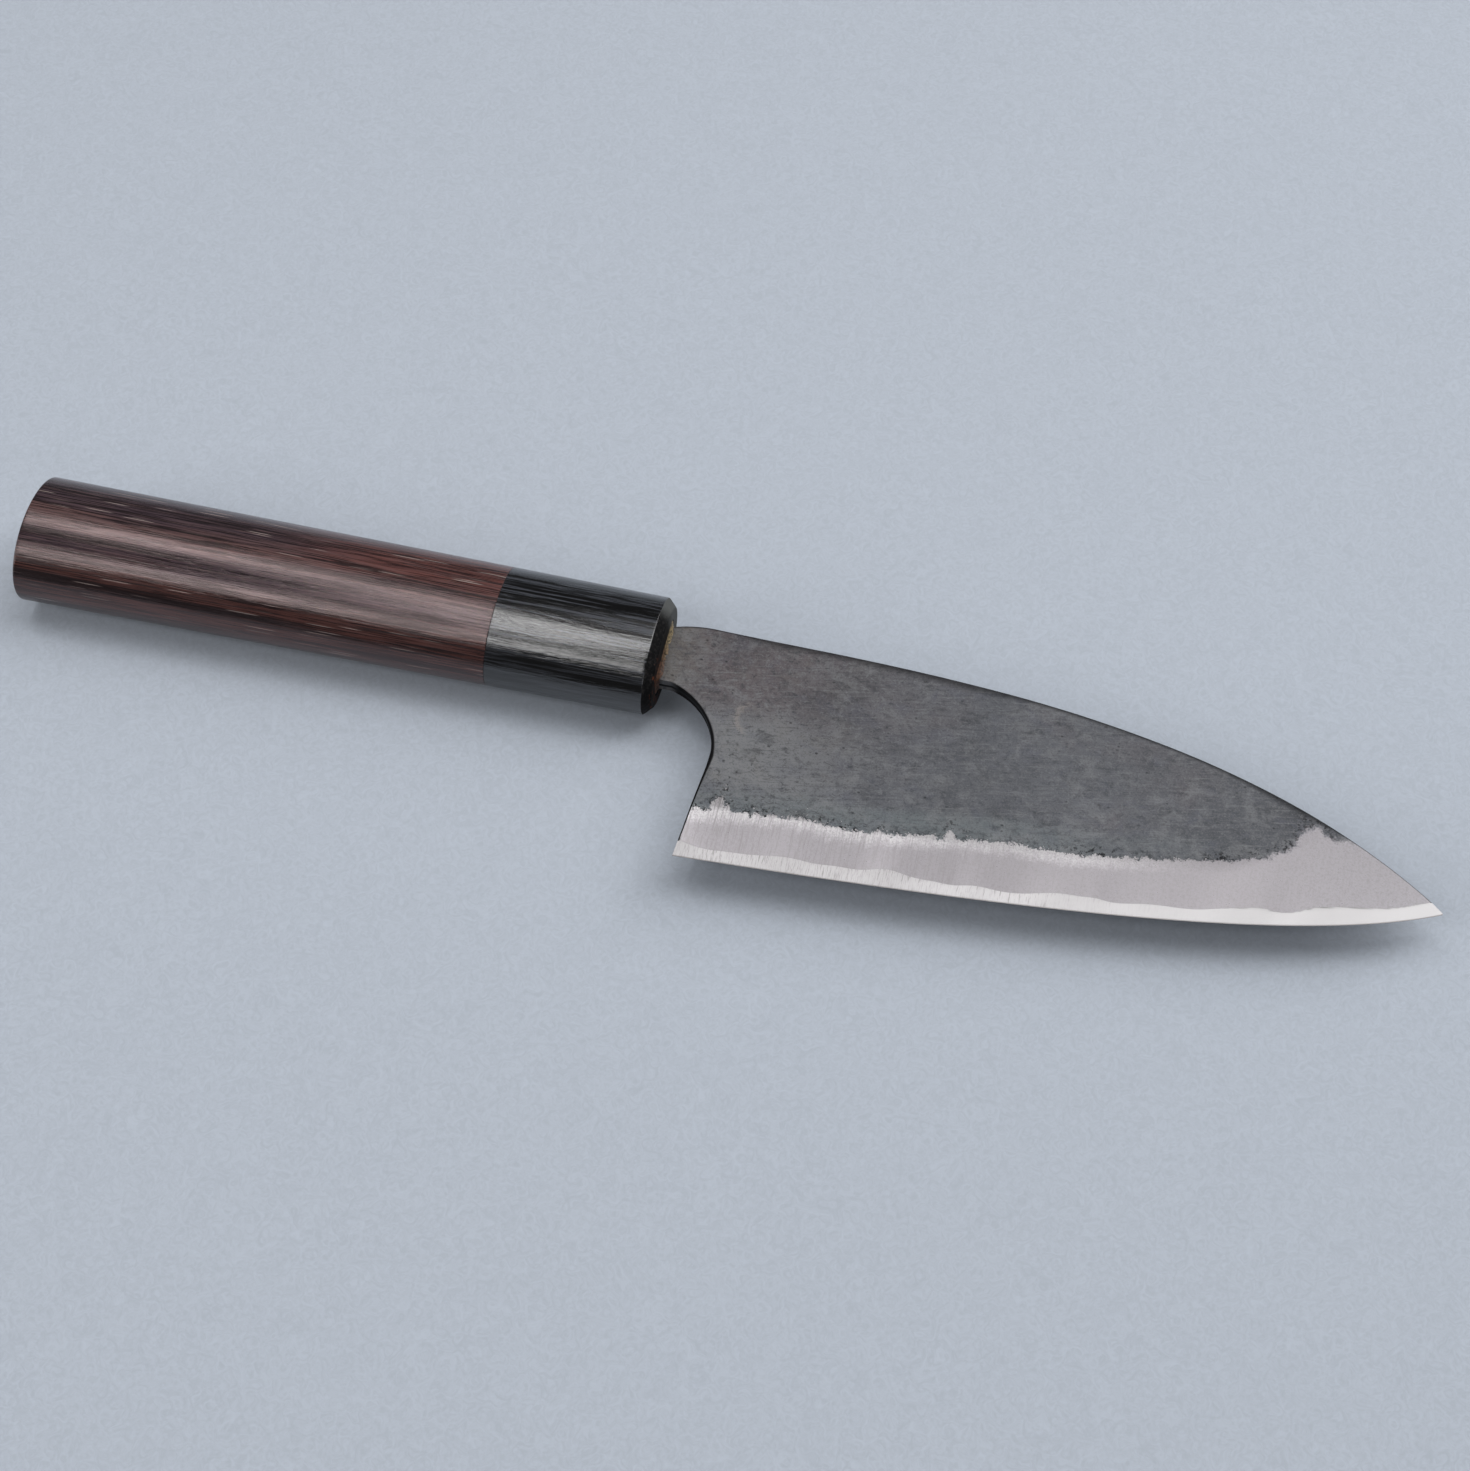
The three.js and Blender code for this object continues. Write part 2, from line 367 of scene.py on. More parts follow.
class Recipe:
    """Writes one procedural material, node by node, on coordinates in millimetres."""

    def __init__(self, name: str) -> None:
        """Starts a material with one shader and the object's own coordinates.

        Args:
            name: the material's name.
        """
        self.material = bpy.data.materials.new(name)
        self.material.use_nodes = True
        self.tree = self.material.node_tree
        self.shader = self.tree.nodes["Principled BSDF"]
        own = self.tree.nodes.new("ShaderNodeTexCoord").outputs["Object"]
        self.place = self.stretch((1 / MM, 1 / MM, 1 / MM), of=own)

    def feed(self, target: Socket, value: Value) -> None:
        """Links a socket, or writes a plain number or colour into it.

        Args:
            target: the input.
            value: what feeds it.
        """
        if isinstance(value, bpy.types.NodeSocket):
            self.tree.links.new(value, target)
        elif isinstance(value, tuple) and target.type == "RGBA":
            target.default_value = (*value, 1.0)
        else:
            target.default_value = value

    def node(self, kind: str, inputs: dict[str | int, Value], **settings: object) -> bpy.types.Node:
        """Adds a node.

        Args:
            kind: the node's type name.
            inputs: socket name or number to what feeds it.
            settings: the node's own options.

        Returns:
            The new node.
        """
        made = self.tree.nodes.new(kind)
        for option, choice in settings.items():
            setattr(made, option, choice)
        for key, value in inputs.items():
            self.feed(made.inputs[key], value)
        return made

    def stretch(
        self, scale: Triple, turn: Triple = (0, 0, 0), shift: Triple = (0, 0, 0), of: Socket | None = None
    ) -> Socket:
        """Scales, turns and shifts coordinates.

        Args:
            scale: factor along each axis.
            turn: rotation about each axis, in degrees.
            shift: offset added last.
            of: the coordinates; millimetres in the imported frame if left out.

        Returns:
            The new coordinates.
        """
        inputs = {"Vector": of or self.place, "Scale": scale, "Location": shift}
        inputs["Rotation"] = tuple(math.radians(angle) for angle in turn)
        return self.node("ShaderNodeMapping", inputs).outputs["Vector"]

    def noise(
        self, at: Socket, scale: float = 1.0, detail: float = 4.0, roughness: float = 0.55, bend: float = 0.0
    ) -> Socket:
        """Cloudy noise from 0 to 1."""
        inputs = {"Vector": at, "Scale": scale, "Detail": detail, "Roughness": roughness, "Distortion": bend}
        return self.node("ShaderNodeTexNoise", inputs).outputs[0]

    def cells(self, at: Socket, scale: float = 1.0) -> tuple[Socket, Socket, Socket]:
        """Distance to the nearest of scattered points, and two random numbers of that point.

        Args:
            at: the coordinates.
            scale: points to one unit of the coordinates.

        Returns:
            The distance and the two numbers, from 0 to 1.
        """
        made = self.node("ShaderNodeTexVoronoi", {"Vector": at, "Scale": scale})
        draws = self.node("ShaderNodeSeparateColor", {0: made.outputs["Color"]})
        return made.outputs["Distance"], draws.outputs[0], draws.outputs[1]

    def trait(self, name: str) -> Socket:
        """A named point value of the mesh."""
        return self.node("ShaderNodeAttribute", {}, attribute_name=name).outputs["Fac"]

    def axis(self, name: str) -> Socket:
        """One coordinate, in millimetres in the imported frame."""
        return self.node("ShaderNodeSeparateXYZ", {"Vector": self.place}).outputs[name]

    def away(self, centre: tuple[float, float]) -> Socket:
        """Distance in the x, y plane from a place, in millimetres."""
        level = self.stretch((1, 1, 0), shift=(-centre[0], -centre[1], 0))
        return self.node("ShaderNodeVectorMath", {0: level}, operation="LENGTH").outputs["Value"]

    def math(self, kind: str, a: Value, b: Value = 0.0, clamp: bool = False) -> Socket:
        """Arithmetic on two values."""
        return self.node("ShaderNodeMath", {0: a, 1: b}, operation=kind, use_clamp=clamp).outputs[0]

    def times(self, *values: Value) -> Socket:
        """Product of the values."""
        return reduce(lambda a, b: self.math("MULTIPLY", a, b), values)

    def plus(self, *values: Value) -> Socket:
        """Sum of the values."""
        return reduce(lambda a, b: self.math("ADD", a, b), values)

    def larger(self, a: Value, b: Value) -> Socket:
        """The larger of two values."""
        return self.math("MAXIMUM", a, b)

    def swing(self, noise: Socket, width: float) -> Socket:
        """Turns noise from 0 to 1 into a swing about zero, of the given width."""
        return self.times(self.math("SUBTRACT", noise, 0.5), width)

    def rise(self, value: Value, low: Value, high: Value, to: Value = 1.0) -> Socket:
        """A soft step from 0 at low and before to its full height at high and after; low may exceed high."""
        inputs = {"Value": value, "From Min": low, "From Max": high, "To Max": to}
        return self.node("ShaderNodeMapRange", inputs, interpolation_type="SMOOTHSTEP").outputs["Result"]

    def mix(self, share: Value, a: Value, b: Value) -> Socket:
        """Blends two colours."""
        return self.node("ShaderNodeMix", {0: share, 6: a, 7: b}, data_type="RGBA").outputs[2]

    def lerp(self, share: Value, a: Value, b: Value) -> Socket:
        """Blends two numbers."""
        return self.node("ShaderNodeMix", {0: share, 2: a, 3: b}, data_type="FLOAT").outputs[0]

    def relief(self, height: Value, depth: float) -> Socket:
        """Bumps the surface by a height from 0 to 1 times a depth in millimetres."""
        inputs = {"Height": height, "Distance": depth * MM, "Strength": 1.0}
        return self.node("ShaderNodeBump", inputs).outputs["Normal"]

    def finish(self, **sockets: Value) -> bpy.types.Material:
        """Feeds the shader.

        Args:
            sockets: what feeds each input; an underscore in a name stands for a space.

        Returns:
            The finished material.
        """
        for name, value in sockets.items():
            self.feed(self.shader.inputs[name.replace("_", " ")], value)
        return self.material


@dataclass(frozen=True)
class ForgedIron:
    """Soft iron: dark forge scale above, ground bare below an uneven line."""

    cool: Colour = (0.103, 0.107, 0.119)
    warm: Colour = (0.122, 0.103, 0.108)
    blue: Colour = (0.094, 0.098, 0.124)
    beige: Colour = (0.150, 0.136, 0.122)
    worn: Colour = (0.300, 0.270, 0.250)
    teal: Colour = (0.128, 0.145, 0.154)
    pale: Colour = (0.184, 0.187, 0.195)
    dark: Colour = (0.042, 0.044, 0.049)
    # the black also paints the shade of the choil's wall, its rim and the spine
    black: Colour = (0.008, 0.008, 0.009)
    olive: Colour = (0.152, 0.144, 0.130)
    ground: Colour = (0.288, 0.276, 0.292)
    polished: Colour = (0.455, 0.442, 0.453)
    # the scratched tone also paints shade on the ground iron behind the tip
    scratched_and_shade: Colour = (0.215, 0.200, 0.209)
    line_wander: float = 4.4
    line_crumble: float = 2.4
    line_nicks: float = 2.6
    scuff_centre: tuple[float, float] = (8.4, 3.4)
    streak_turn: float = -11.0

    def own_face(
        self, r: Recipe, scale: Triple, shift: tuple[float, float], step: float, side: Side
    ) -> Socket:
        """Stretched coordinates that differ on the two faces.

        Args:
            r: the recipe being written.
            scale: factor along each axis.
            shift: offset along x and y.
            step: offset along z, added on one face and taken off on the other.
            side: which face.

        Returns:
            The coordinates.
        """
        return r.stretch(scale, shift=(*shift, step * side.value))

    def clouded(
        self, r: Recipe, tone: Socket, noise: Socket, light: tuple[Value, ...], shade: tuple[Value, ...]
    ) -> Socket:
        """Pales a tone where a noise is high and darkens it where the noise is low.

        Args:
            r: the recipe being written.
            tone: the colour so far.
            noise: cloudy noise.
            light: start, end and height of the pale step.
            shade: start, end and height of the dark step.

        Returns:
            The new colour.
        """
        return r.mix(r.rise(noise, *shade), r.mix(r.rise(noise, *light), tone, self.pale), self.dark)

    def skin_tone(self, r: Recipe, face: Socket, fall: Socket, side: Side) -> Socket:
        """Colour of the scale: cool grey, warmer and paler by the neck, smudged, flecked and streaked.

        Args:
            r: the recipe being written.
            face: coordinates on the face.
            fall: fall from the scale's lower line, in millimetres.
            side: which face of the blade.

        Returns:
            The colour.
        """
        x, y = r.axis("X"), r.axis("Y")
        cloud = r.noise(face, 0.055, 4, 0.55, 0.3)
        near_neck = r.times(r.rise(x, 52, -6), r.rise(y, -10, 14))
        warmth = r.math("ADD", near_neck, r.rise(cloud, 0.50, 0.75, 0.35), clamp=True)
        tone = r.mix(warmth, self.cool, self.warm)
        tone = r.mix(r.rise(x, 62, 112, 0.38), tone, self.dark)
        tone = r.mix(r.rise(cloud, 0.50, 0.36, 0.32), tone, self.dark)
        tone = r.mix(r.times(r.rise(fall, -6.5, -3.2), r.rise(x, 112, 40), 0.80), tone, self.teal)
        by_choil = r.times(r.rise(x, 36, 6), r.rise(y, 8, -1), r.rise(y, -16, -8))
        tone = r.mix(r.times(by_choil, 0.95), tone, self.pale)
        tone = r.mix(r.rise(x, -2, -11, 0.7), tone, self.olive)
        tint = r.noise(self.own_face(r, (0.16, 0.22, 0.2), (40, 0), 3, side), 1.0, 5, 0.68, 0.8)
        tone = r.mix(r.rise(tint, 0.50, 0.66, 0.35), tone, self.blue)
        tone = r.mix(r.times(r.rise(tint, 0.48, 0.34, 0.25), r.rise(x, 45, 10)), tone, self.beige)
        patch = r.noise(face, 0.20, 6, 0.66, 0.6)
        tone = r.mix(r.rise(patch, 0.46, 0.66, 0.44), tone, self.pale)
        smudge = r.noise(self.own_face(r, (0.30, 0.44, 0.2), (17, 5), 7, side), 1.0, 7, 0.72, 0.6)
        tone = r.mix(r.rise(smudge, 0.50, 0.70, 0.60), tone, self.dark)
        mottle = r.noise(self.own_face(r, (0.70, 0.95, 0.3), (8, 21), 5, side), 1.0, 6, 0.74, 0.8)
        by_heel = r.rise(x, 62, 15)
        light, shade = r.lerp(by_heel, 0.34, 0.62), r.lerp(by_heel, 0.42, 0.72)
        tone = self.clouded(r, tone, mottle, (0.52, 0.66, light), (0.48, 0.34, shade))
        scuff = r.math("SUBTRACT", r.away(self.scuff_centre), r.lerp(mottle, 1.2, 5.6))
        scuff = r.times(r.rise(r.math("ABSOLUTE", scuff), 0.9, 0.1), r.rise(x, 8.0, 5.5))
        tone = r.mix(r.times(scuff, 0.42), tone, self.worn)
        along = r.stretch((1, 1, 1), turn=(0, 0, self.streak_turn), shift=(0, 0, 9 * side.value))
        streak = r.noise(r.stretch((0.12, 2.2, 0.3), of=along), 1.0, 5, 0.68)
        tone = self.clouded(r, tone, streak, (0.54, 0.70, 0.52), (0.46, 0.30, 0.42))
        dust = r.noise(self.own_face(r, (1, 1, 0.2), (12, 30), 4, side), 2.9, 3, 0.7)
        return self.clouded(r, tone, dust, (0.54, 0.68, 0.42), (0.46, 0.32, 0.48))

    def spotted(
        self, r: Recipe, tone: Socket, face: Socket, line: Socket, side: Side
    ) -> tuple[Socket, Socket]:
        """Adds round pits, pale flecks, and the broken dark fringe above the ground line.

        Args:
            r: the recipe being written.
            tone: the colour of the scale.
            face: coordinates on the face.
            line: depth below the ragged line, in millimetres.
            side: which face of the blade.

        Returns:
            The new colour, and the share of its dark spots.
        """
        pitted = r.rise(r.noise(face, 0.12, 3, 0.6), 0.44, 0.58)
        spot, first, second = r.cells(self.own_face(r, (0.75, 1.0, 0.2), (3, 8), 1, side), 0.9)
        pit = r.times(r.rise(spot, 0.26, 0.10), r.rise(first, 0.72, 0.78), pitted)
        fleck = r.times(r.rise(spot, 0.18, 0.08), r.rise(second, 0.88, 0.92))
        teeth = r.rise(r.noise(r.stretch((0.12, 0.02, 0.02)), 1.0, 2), 0.42, 0.60)
        grit = r.noise(self.own_face(r, (1, 1, 0.2), (6, 2), 13, side), 1.3, 4, 0.66)
        verge = r.times(r.rise(line, -3.0, -0.5), r.lerp(teeth, 0.45, 1.0))
        fringe = r.times(verge, r.rise(grit, 0.53, 0.60))
        glint = r.times(verge, r.rise(grit, 0.36, 0.31))
        dark = r.larger(r.times(pit, 0.65), r.times(fringe, 0.9))
        light = r.larger(r.times(glint, 0.6), r.times(fleck, 0.25))
        return r.mix(light, r.mix(dark, tone, self.black), self.scratched_and_shade), dark

    def bare_tone(self, r: Recipe, below: Socket, brushed: Socket, grain: Socket) -> Socket:
        """Colour of the ground iron: bright under the line, darkened by painted shade except near the tip, with
        cross scratches that crowd towards the heel.

        Args:
            r: the recipe being written.
            below: fall below the ragged line, in millimetres.
            brushed: noise of the cross scratches.
            grain: fine noise.

        Returns:
            The colour.
        """
        x = r.axis("X")
        # painted shade: the ground iron is darker behind about 95 mm, fading out towards the tip, where the
        # bevel reflects less light
        tone = r.mix(r.rise(x, 122, 95, 0.30), self.ground, self.scratched_and_shade)
        tone = r.mix(r.times(r.rise(below, 3.3, 0.2), r.rise(x, 105, 60)), tone, self.polished)
        worn = r.plus(r.rise(x, 80, 5, 0.62), 0.16)
        tone = r.mix(r.times(r.rise(brushed, 0.47, 0.61), worn), tone, self.scratched_and_shade)
        return r.mix(r.rise(grain, 0.44, 0.64, 0.58), tone, self.scratched_and_shade)

    def material(self, side: Side) -> bpy.types.Material:
        """Builds the finish for one face of the blade.

        Args:
            side: shifts the patterns, so that the two faces differ.

        Returns:
            The material.
        """
        r = Recipe(f"forged_iron_{side.name.lower()}")
        x, wall, fall = r.axis("X"), r.trait("wall"), r.trait("fall")
        face = self.own_face(r, (1, 1, 0.2), (0, 0), 40, side)
        ragged = r.noise(face, 0.55, 7, 0.76)
        crumbs = r.noise(face, 2.4, 4, 0.65)
        wander = r.plus(r.swing(ragged, self.line_wander), r.swing(crumbs, self.line_crumble))
        nicks = r.noise(self.own_face(r, (1, 1, 0.2), (9, 4), 11, side), 1.15, 4, 0.65)
        nicks = r.times(r.rise(nicks, 0.64, 0.72), r.rise(x, 60, 20, self.line_nicks))
        line = r.plus(r.trait("ground"), wander, nicks)
        blur = r.plus(r.rise(x, 98, 108, 0.75), 0.08)
        bare = r.rise(line, r.times(blur, -1.0), blur)
        bare = r.times(bare, r.math("SUBTRACT", 1.0, wall, clamp=True))

        tone, spots = self.spotted(r, self.skin_tone(r, face, fall, side), face, line, side)
        # painted shade, partly unground scale: black on the choil's wall, its rounded rim and along the spine
        tone = r.mix(wall, tone, self.black)
        brushed = r.noise(r.stretch((3.4, 0.16, 1.0)), 1.0, 5, 0.70)
        grain = r.noise(face, 2.3, 5, 0.80)
        height = r.plus(r.times(ragged, 0.6), r.times(crumbs, 0.25), r.times(spots, -0.5))
        height = r.lerp(bare, height, r.times(r.plus(brushed, grain), 0.02))
        sheen = r.lerp(bare, r.lerp(ragged, 0.42, 0.58), r.lerp(grain, 0.26, 0.30))
        return r.finish(
            Base_Color=r.mix(bare, tone, self.bare_tone(r, r.plus(fall, wander), brushed, grain)),
            Roughness=r.lerp(wall, sheen, 0.85),
            Metallic=r.lerp(bare, 0.8, 1.0),
            Normal=r.relief(height, 0.05),
        )


@dataclass(frozen=True)
class BareCore:
    """Hard core steel: bright, with cross scratches, on the edge strip, scaled where it is not ground; painted
    shade darkens it towards the tip and along the very edge.
    """

    bright: Colour = (0.395, 0.384, 0.391)
    # the tone towards the tip is darker as painted shade; the scratched tone also paints the shade along the
    # very edge
    forward: Colour = (0.362, 0.354, 0.358)
    scratched_and_shade: Colour = (0.160, 0.150, 0.148)
    scale: Colour = (0.010, 0.010, 0.011)

    def material(self) -> bpy.types.Material:
        """Builds the finish: coarse scratches in patches, fine ones that thin out towards the tip.

        Returns:
            The material.
        """
        r = Recipe("bare_core")
        x, bare = r.axis("X"), r.trait("bare")
        fine = r.noise(r.stretch((6.0, 0.35, 1.0)), 1.0, 4, 0.70)
        coarse = r.noise(r.stretch((3.2, 0.30, 1.0)), 1.0, 5, 0.70)
        worn = r.times(r.rise(r.noise(r.place, 0.08, 3), 0.30, 0.56), r.rise(x, 95, 50))
        marks = r.times(r.rise(coarse, 0.54, 0.66), worn, 0.72)
        hairlines = r.times(r.rise(fine, 0.50, 0.70), r.rise(x, 110, 5, 0.75))
        # painted shade: a thin dark line along the very edge
        edge_shade = r.rise(r.trait("above_edge"), 0.30, 0.08, 0.75)
        # painted shade: the steel darkens towards the tip, where the lamps reflect more strongly
        tone = r.mix(r.rise(x, 40, 105), self.bright, self.forward)
        for share in (edge_shade, marks, hairlines):
            tone = r.mix(share, tone, self.scratched_and_shade)
        return r.finish(
            Base_Color=r.mix(bare, self.scale, tone),
            Roughness=r.lerp(bare, 0.6, r.lerp(fine, 0.38, 0.46)),
            Metallic=1.0,
            Normal=r.relief(r.plus(fine, coarse), 0.006),
        )


@dataclass(frozen=True)
class Rosewood:
    """Oiled rosewood: near-black figure on red and purple brown, with fine pale pores along the grain."""

    dark: Colour = (0.008, 0.005, 0.006)
    brown: Colour = (0.042, 0.018, 0.015)
    red: Colour = (0.132, 0.053, 0.047)
    # rose: partly the wood's own pink, partly painted highlight along the band of the highlights
    rose: Colour = (0.120, 0.068, 0.066)
    purple: Colour = (0.054, 0.037, 0.046)
    fibre: Colour = (0.125, 0.078, 0.078)
    pore: Colour = (0.40, 0.32, 0.29)
    oil_tint: Colour = (1.0, 0.81, 0.80)
    slope: Triple = (0, 1.0, 1.4)
    drift: float = 7.0

    def material(self) -> bpy.types.Material:
        """Builds the finish; the grain runs along x with a slight slope, and reddens towards the ferrule. A
        pink band where the highlights fall is partly painted highlight.

        Returns:
            The material.
        """
        r = Recipe("rosewood")
        x, y = r.axis("X"), r.axis("Y")
        figure = r.noise(r.stretch((0.012, 0.34, 0.34), self.slope), 1.0, 5, 0.62, 0.4)
        lines = r.noise(r.stretch((0.035, 1.5, 1.5), self.slope), 1.0, 5, 0.70, 0.3)
        hairs = r.noise(r.stretch((0.06, 5.0, 5.0), self.slope), 1.0, 3, 0.70)
        dash, draw, _ = r.cells(r.stretch((0.065, 2.5, 2.5), self.slope))
        where = r.noise(r.stretch((0.025, 0.5, 0.5), self.slope, shift=(3, 0, 0)), 1.0, 3, 0.6)
        across = r.plus(y, r.swing(where, self.drift))
        low = r.rise(across, 8, 4.5)
        highlight_band = r.times(r.rise(across, 9.5, 12.5), r.rise(across, 17.0, 14.5))
        upper = r.times(r.rise(across, 13.0, 15.0), r.rise(x, -92, -64))
        reddened = r.larger(upper, r.times(low, 0.30))
        tone = r.mix(low, self.purple, self.brown)
        # partly painted highlight: rose mixed in along the band where the lamps' highlights fall
        tone = r.mix(r.times(highlight_band, r.rise(figure, 0.36, 0.52)), tone, self.rose)
        tone = r.mix(r.times(reddened, r.rise(figure, 0.34, 0.50)), tone, self.red)
        tone = r.mix(r.rise(figure, 0.48, 0.38, 0.90), tone, self.dark)
        tone = r.mix(r.rise(lines, 0.48, 0.58, 0.85), tone, self.dark)
        tone = r.mix(r.times(r.rise(hairs, 0.47, 0.37), r.lerp(low, 0.65, 0.22)), tone, self.fibre)
        tone = r.mix(r.rise(hairs, 0.50, 0.58, 0.90), tone, self.dark)
        pores = r.times(r.rise(dash, 0.26, 0.17), r.rise(draw, 0.20, 0.60), r.rise(where, 0.42, 0.52))
        pores = r.times(pores, r.larger(r.rise(y, 12, 17), r.times(low, 0.5)))
        height = r.plus(r.times(lines, -0.5), r.times(pores, -0.5), r.times(hairs, -0.6))
        return r.finish(
            Base_Color=r.mix(r.times(pores, 0.85), tone, self.pore),
            Roughness=r.lerp(r.rise(lines, 0.40, 0.60), 0.10, 0.24),
            Specular_IOR_Level=0.85,
            Specular_Tint=self.oil_tint,
            Normal=r.relief(height, 0.037),
        )


@dataclass(frozen=True)
class BlackWood:
    """Black polished wood whose raised grain ripples its reflections."""

    # the dark also paints shade on the lower side
    dark: Colour = (0.001, 0.001, 0.0015)
    pale: Colour = (0.052, 0.056, 0.067)
    speck: Colour = (0.60, 0.60, 0.58)
    slope: Triple = (0, -1.0, -1.4)

    def material(self) -> bpy.types.Material:
        """Builds the finish; the grain runs along x, and the lower side is darkened by painted shade.

        Returns:
            The material.
        """
        r = Recipe("black_wood")
        figure = r.noise(r.stretch((0.028, 1.1, 1.1), self.slope), 1.0, 6, 0.68, 0.7)
        ripples = r.noise(r.stretch((0.060, 0.55, 0.55), self.slope, shift=(5, 0, 0)), 1.0, 4, 0.58, 0.5)
        hairs = r.noise(r.stretch((0.07, 2.4, 2.4), self.slope), 1.0, 4, 0.66)
        tone = r.mix(r.rise(figure, 0.46, 0.56), self.dark, self.pale)
        tone = r.mix(r.rise(hairs, 0.49, 0.62, 0.85), tone, self.dark)
        # painted shade: the lower side darkened towards black
        tone = r.mix(r.rise(r.axis("Y"), 11, 5, 0.50), tone, self.dark)
        spot, draw, _ = r.cells(r.place, 0.28)
        tone = r.mix(r.times(r.rise(spot, 0.055, 0.03), r.rise(draw, 0.86, 0.88)), tone, self.speck)
        return r.finish(
            Base_Color=tone,
            Roughness=r.lerp(figure, 0.10, 0.20),
            Specular_IOR_Level=1.0,
            Normal=r.relief(r.plus(ripples, r.times(hairs, -0.30)), 0.11),
        )


@dataclass(frozen=True)
class EndGrain:
    """Dull end of the black wood: paler grey at the top of its chamfer, rust-stained near the edge side."""

    mouth: float
    dark: Colour = (0.003, 0.003, 0.0035)
    grey: Colour = (0.030, 0.028, 0.028)
    pale_top: Colour = (0.112, 0.116, 0.114)
    stain: Colour = (0.16, 0.045, 0.018)

    def material(self) -> bpy.types.Material:
        """Builds the finish.

        Returns:
            The material.
        """
        r = Recipe("black_wood_end")
        y, mouth = r.axis("Y"), self.mouth / MM
        fibres = r.noise(r.place, 1.6, 5, 0.7)
        tone = r.mix(r.rise(fibres, 0.45, 0.70), self.dark, self.grey)
        # paler grey towards the top of the chamfer
        dust = r.math("MULTIPLY", r.rise(y, 16.5, 21.0), r.lerp(fibres, 0.7, 1.2), clamp=True)
        tone = r.mix(dust, tone, self.pale_top)
        face = r.rise(r.axis("X"), mouth - 0.5, mouth - 0.1)
        rust = r.times(r.rise(y, 12.5, 8.0), r.rise(r.noise(r.place, 0.8, 5, 0.7), 0.54, 0.64))
        return r.finish(
            Base_Color=r.mix(r.times(face, rust), tone, self.stain),
            Roughness=r.lerp(fibres, 0.62, 0.88),
            Specular_IOR_Level=0.12,
            Normal=r.relief(fibres, 0.06),
        )


@dataclass(frozen=True)
class PaleWood:
    """Plain straight-grained hardwood of the hidden dowel."""

    early: Colour = (0.60, 0.42, 0.24)
    late: Colour = (0.43, 0.28, 0.14)

    def material(self) -> bpy.types.Material:
        """Builds the finish.

        Returns:
            The material.
        """
        r = Recipe("pale_wood")
        rings = r.noise(r.stretch((0.02, 0.8, 0.8)), 1.0, 4, 0.6)
        fibres = r.noise(r.stretch((0.15, 5.0, 5.0)), 1.0, 2)
        tone = r.mix(r.rise(rings, 0.35, 0.7), self.early, self.late)
        tone = r.mix(r.rise(fibres, 0.5, 0.75, 0.4), tone, self.late)
        return r.finish(
            Base_Color=tone, Roughness=r.lerp(fibres, 0.55, 0.75), Normal=r.relief(fibres, 0.04)
        )


@dataclass(frozen=True)
class ClearResin:
    """Cured resin of the hidden bedding, with cloudy tints."""

    light: Colour = (0.60, 0.50, 0.32)
    deep: Colour = (0.45, 0.34, 0.18)

    def material(self) -> bpy.types.Material:
        """Builds the finish.

        Returns:
            The material.
        """
        r = Recipe("clear_resin")
        cloud = r.noise(r.place, 0.9, 4, 0.6)
        grains = r.noise(r.place, 3.5, 3, 0.6)
        tone = r.mix(r.rise(cloud, 0.38, 0.62), self.light, self.deep)
        tone = r.mix(r.rise(grains, 0.55, 0.75, 0.5), tone, self.deep)
        return r.finish(
            Base_Color=tone, Roughness=r.lerp(grains, 0.25, 0.50), Normal=r.relief(grains, 0.08)
        )


@dataclass(frozen=True)
class Bead:
    """Old resin round the neck: golden towards the spine, rusty towards the edge side, dark in its pits."""

    golden: Colour = (0.330, 0.255, 0.140)
    rusty: Colour = (0.115, 0.048, 0.024)
    pitted: Colour = (0.012, 0.009, 0.007)
    drift: float = 8.0

    def material(self) -> bpy.types.Material:
        """Builds the finish.

        Returns:
            The material.
        """
        r = Recipe("amber_resin")
        cloud = r.noise(r.place, 0.9, 4, 0.6)
        grains = r.noise(r.place, 2.6, 4, 0.7)
        across = r.plus(r.axis("Y"), r.swing(cloud, self.drift))
        tone = r.mix(r.rise(across, 11, 18), self.rusty, self.golden)
        tone = r.mix(r.rise(grains, 0.44, 0.58, 0.85), tone, self.pitted)
        return r.finish(
            Base_Color=tone, Roughness=r.lerp(grains, 0.35, 0.65), Normal=r.relief(grains, 0.10)
        )


@dataclass(frozen=True)
class Wave:
    """One slow sine: rise and length in millimetres, lag in degrees."""

    rise: float
    length: float
    lag: float

    def at(self, along: np.ndarray) -> np.ndarray:
        """Height at places in millimetres."""
        return self.rise * np.sin(2 * np.pi * along / self.length - math.radians(self.lag))


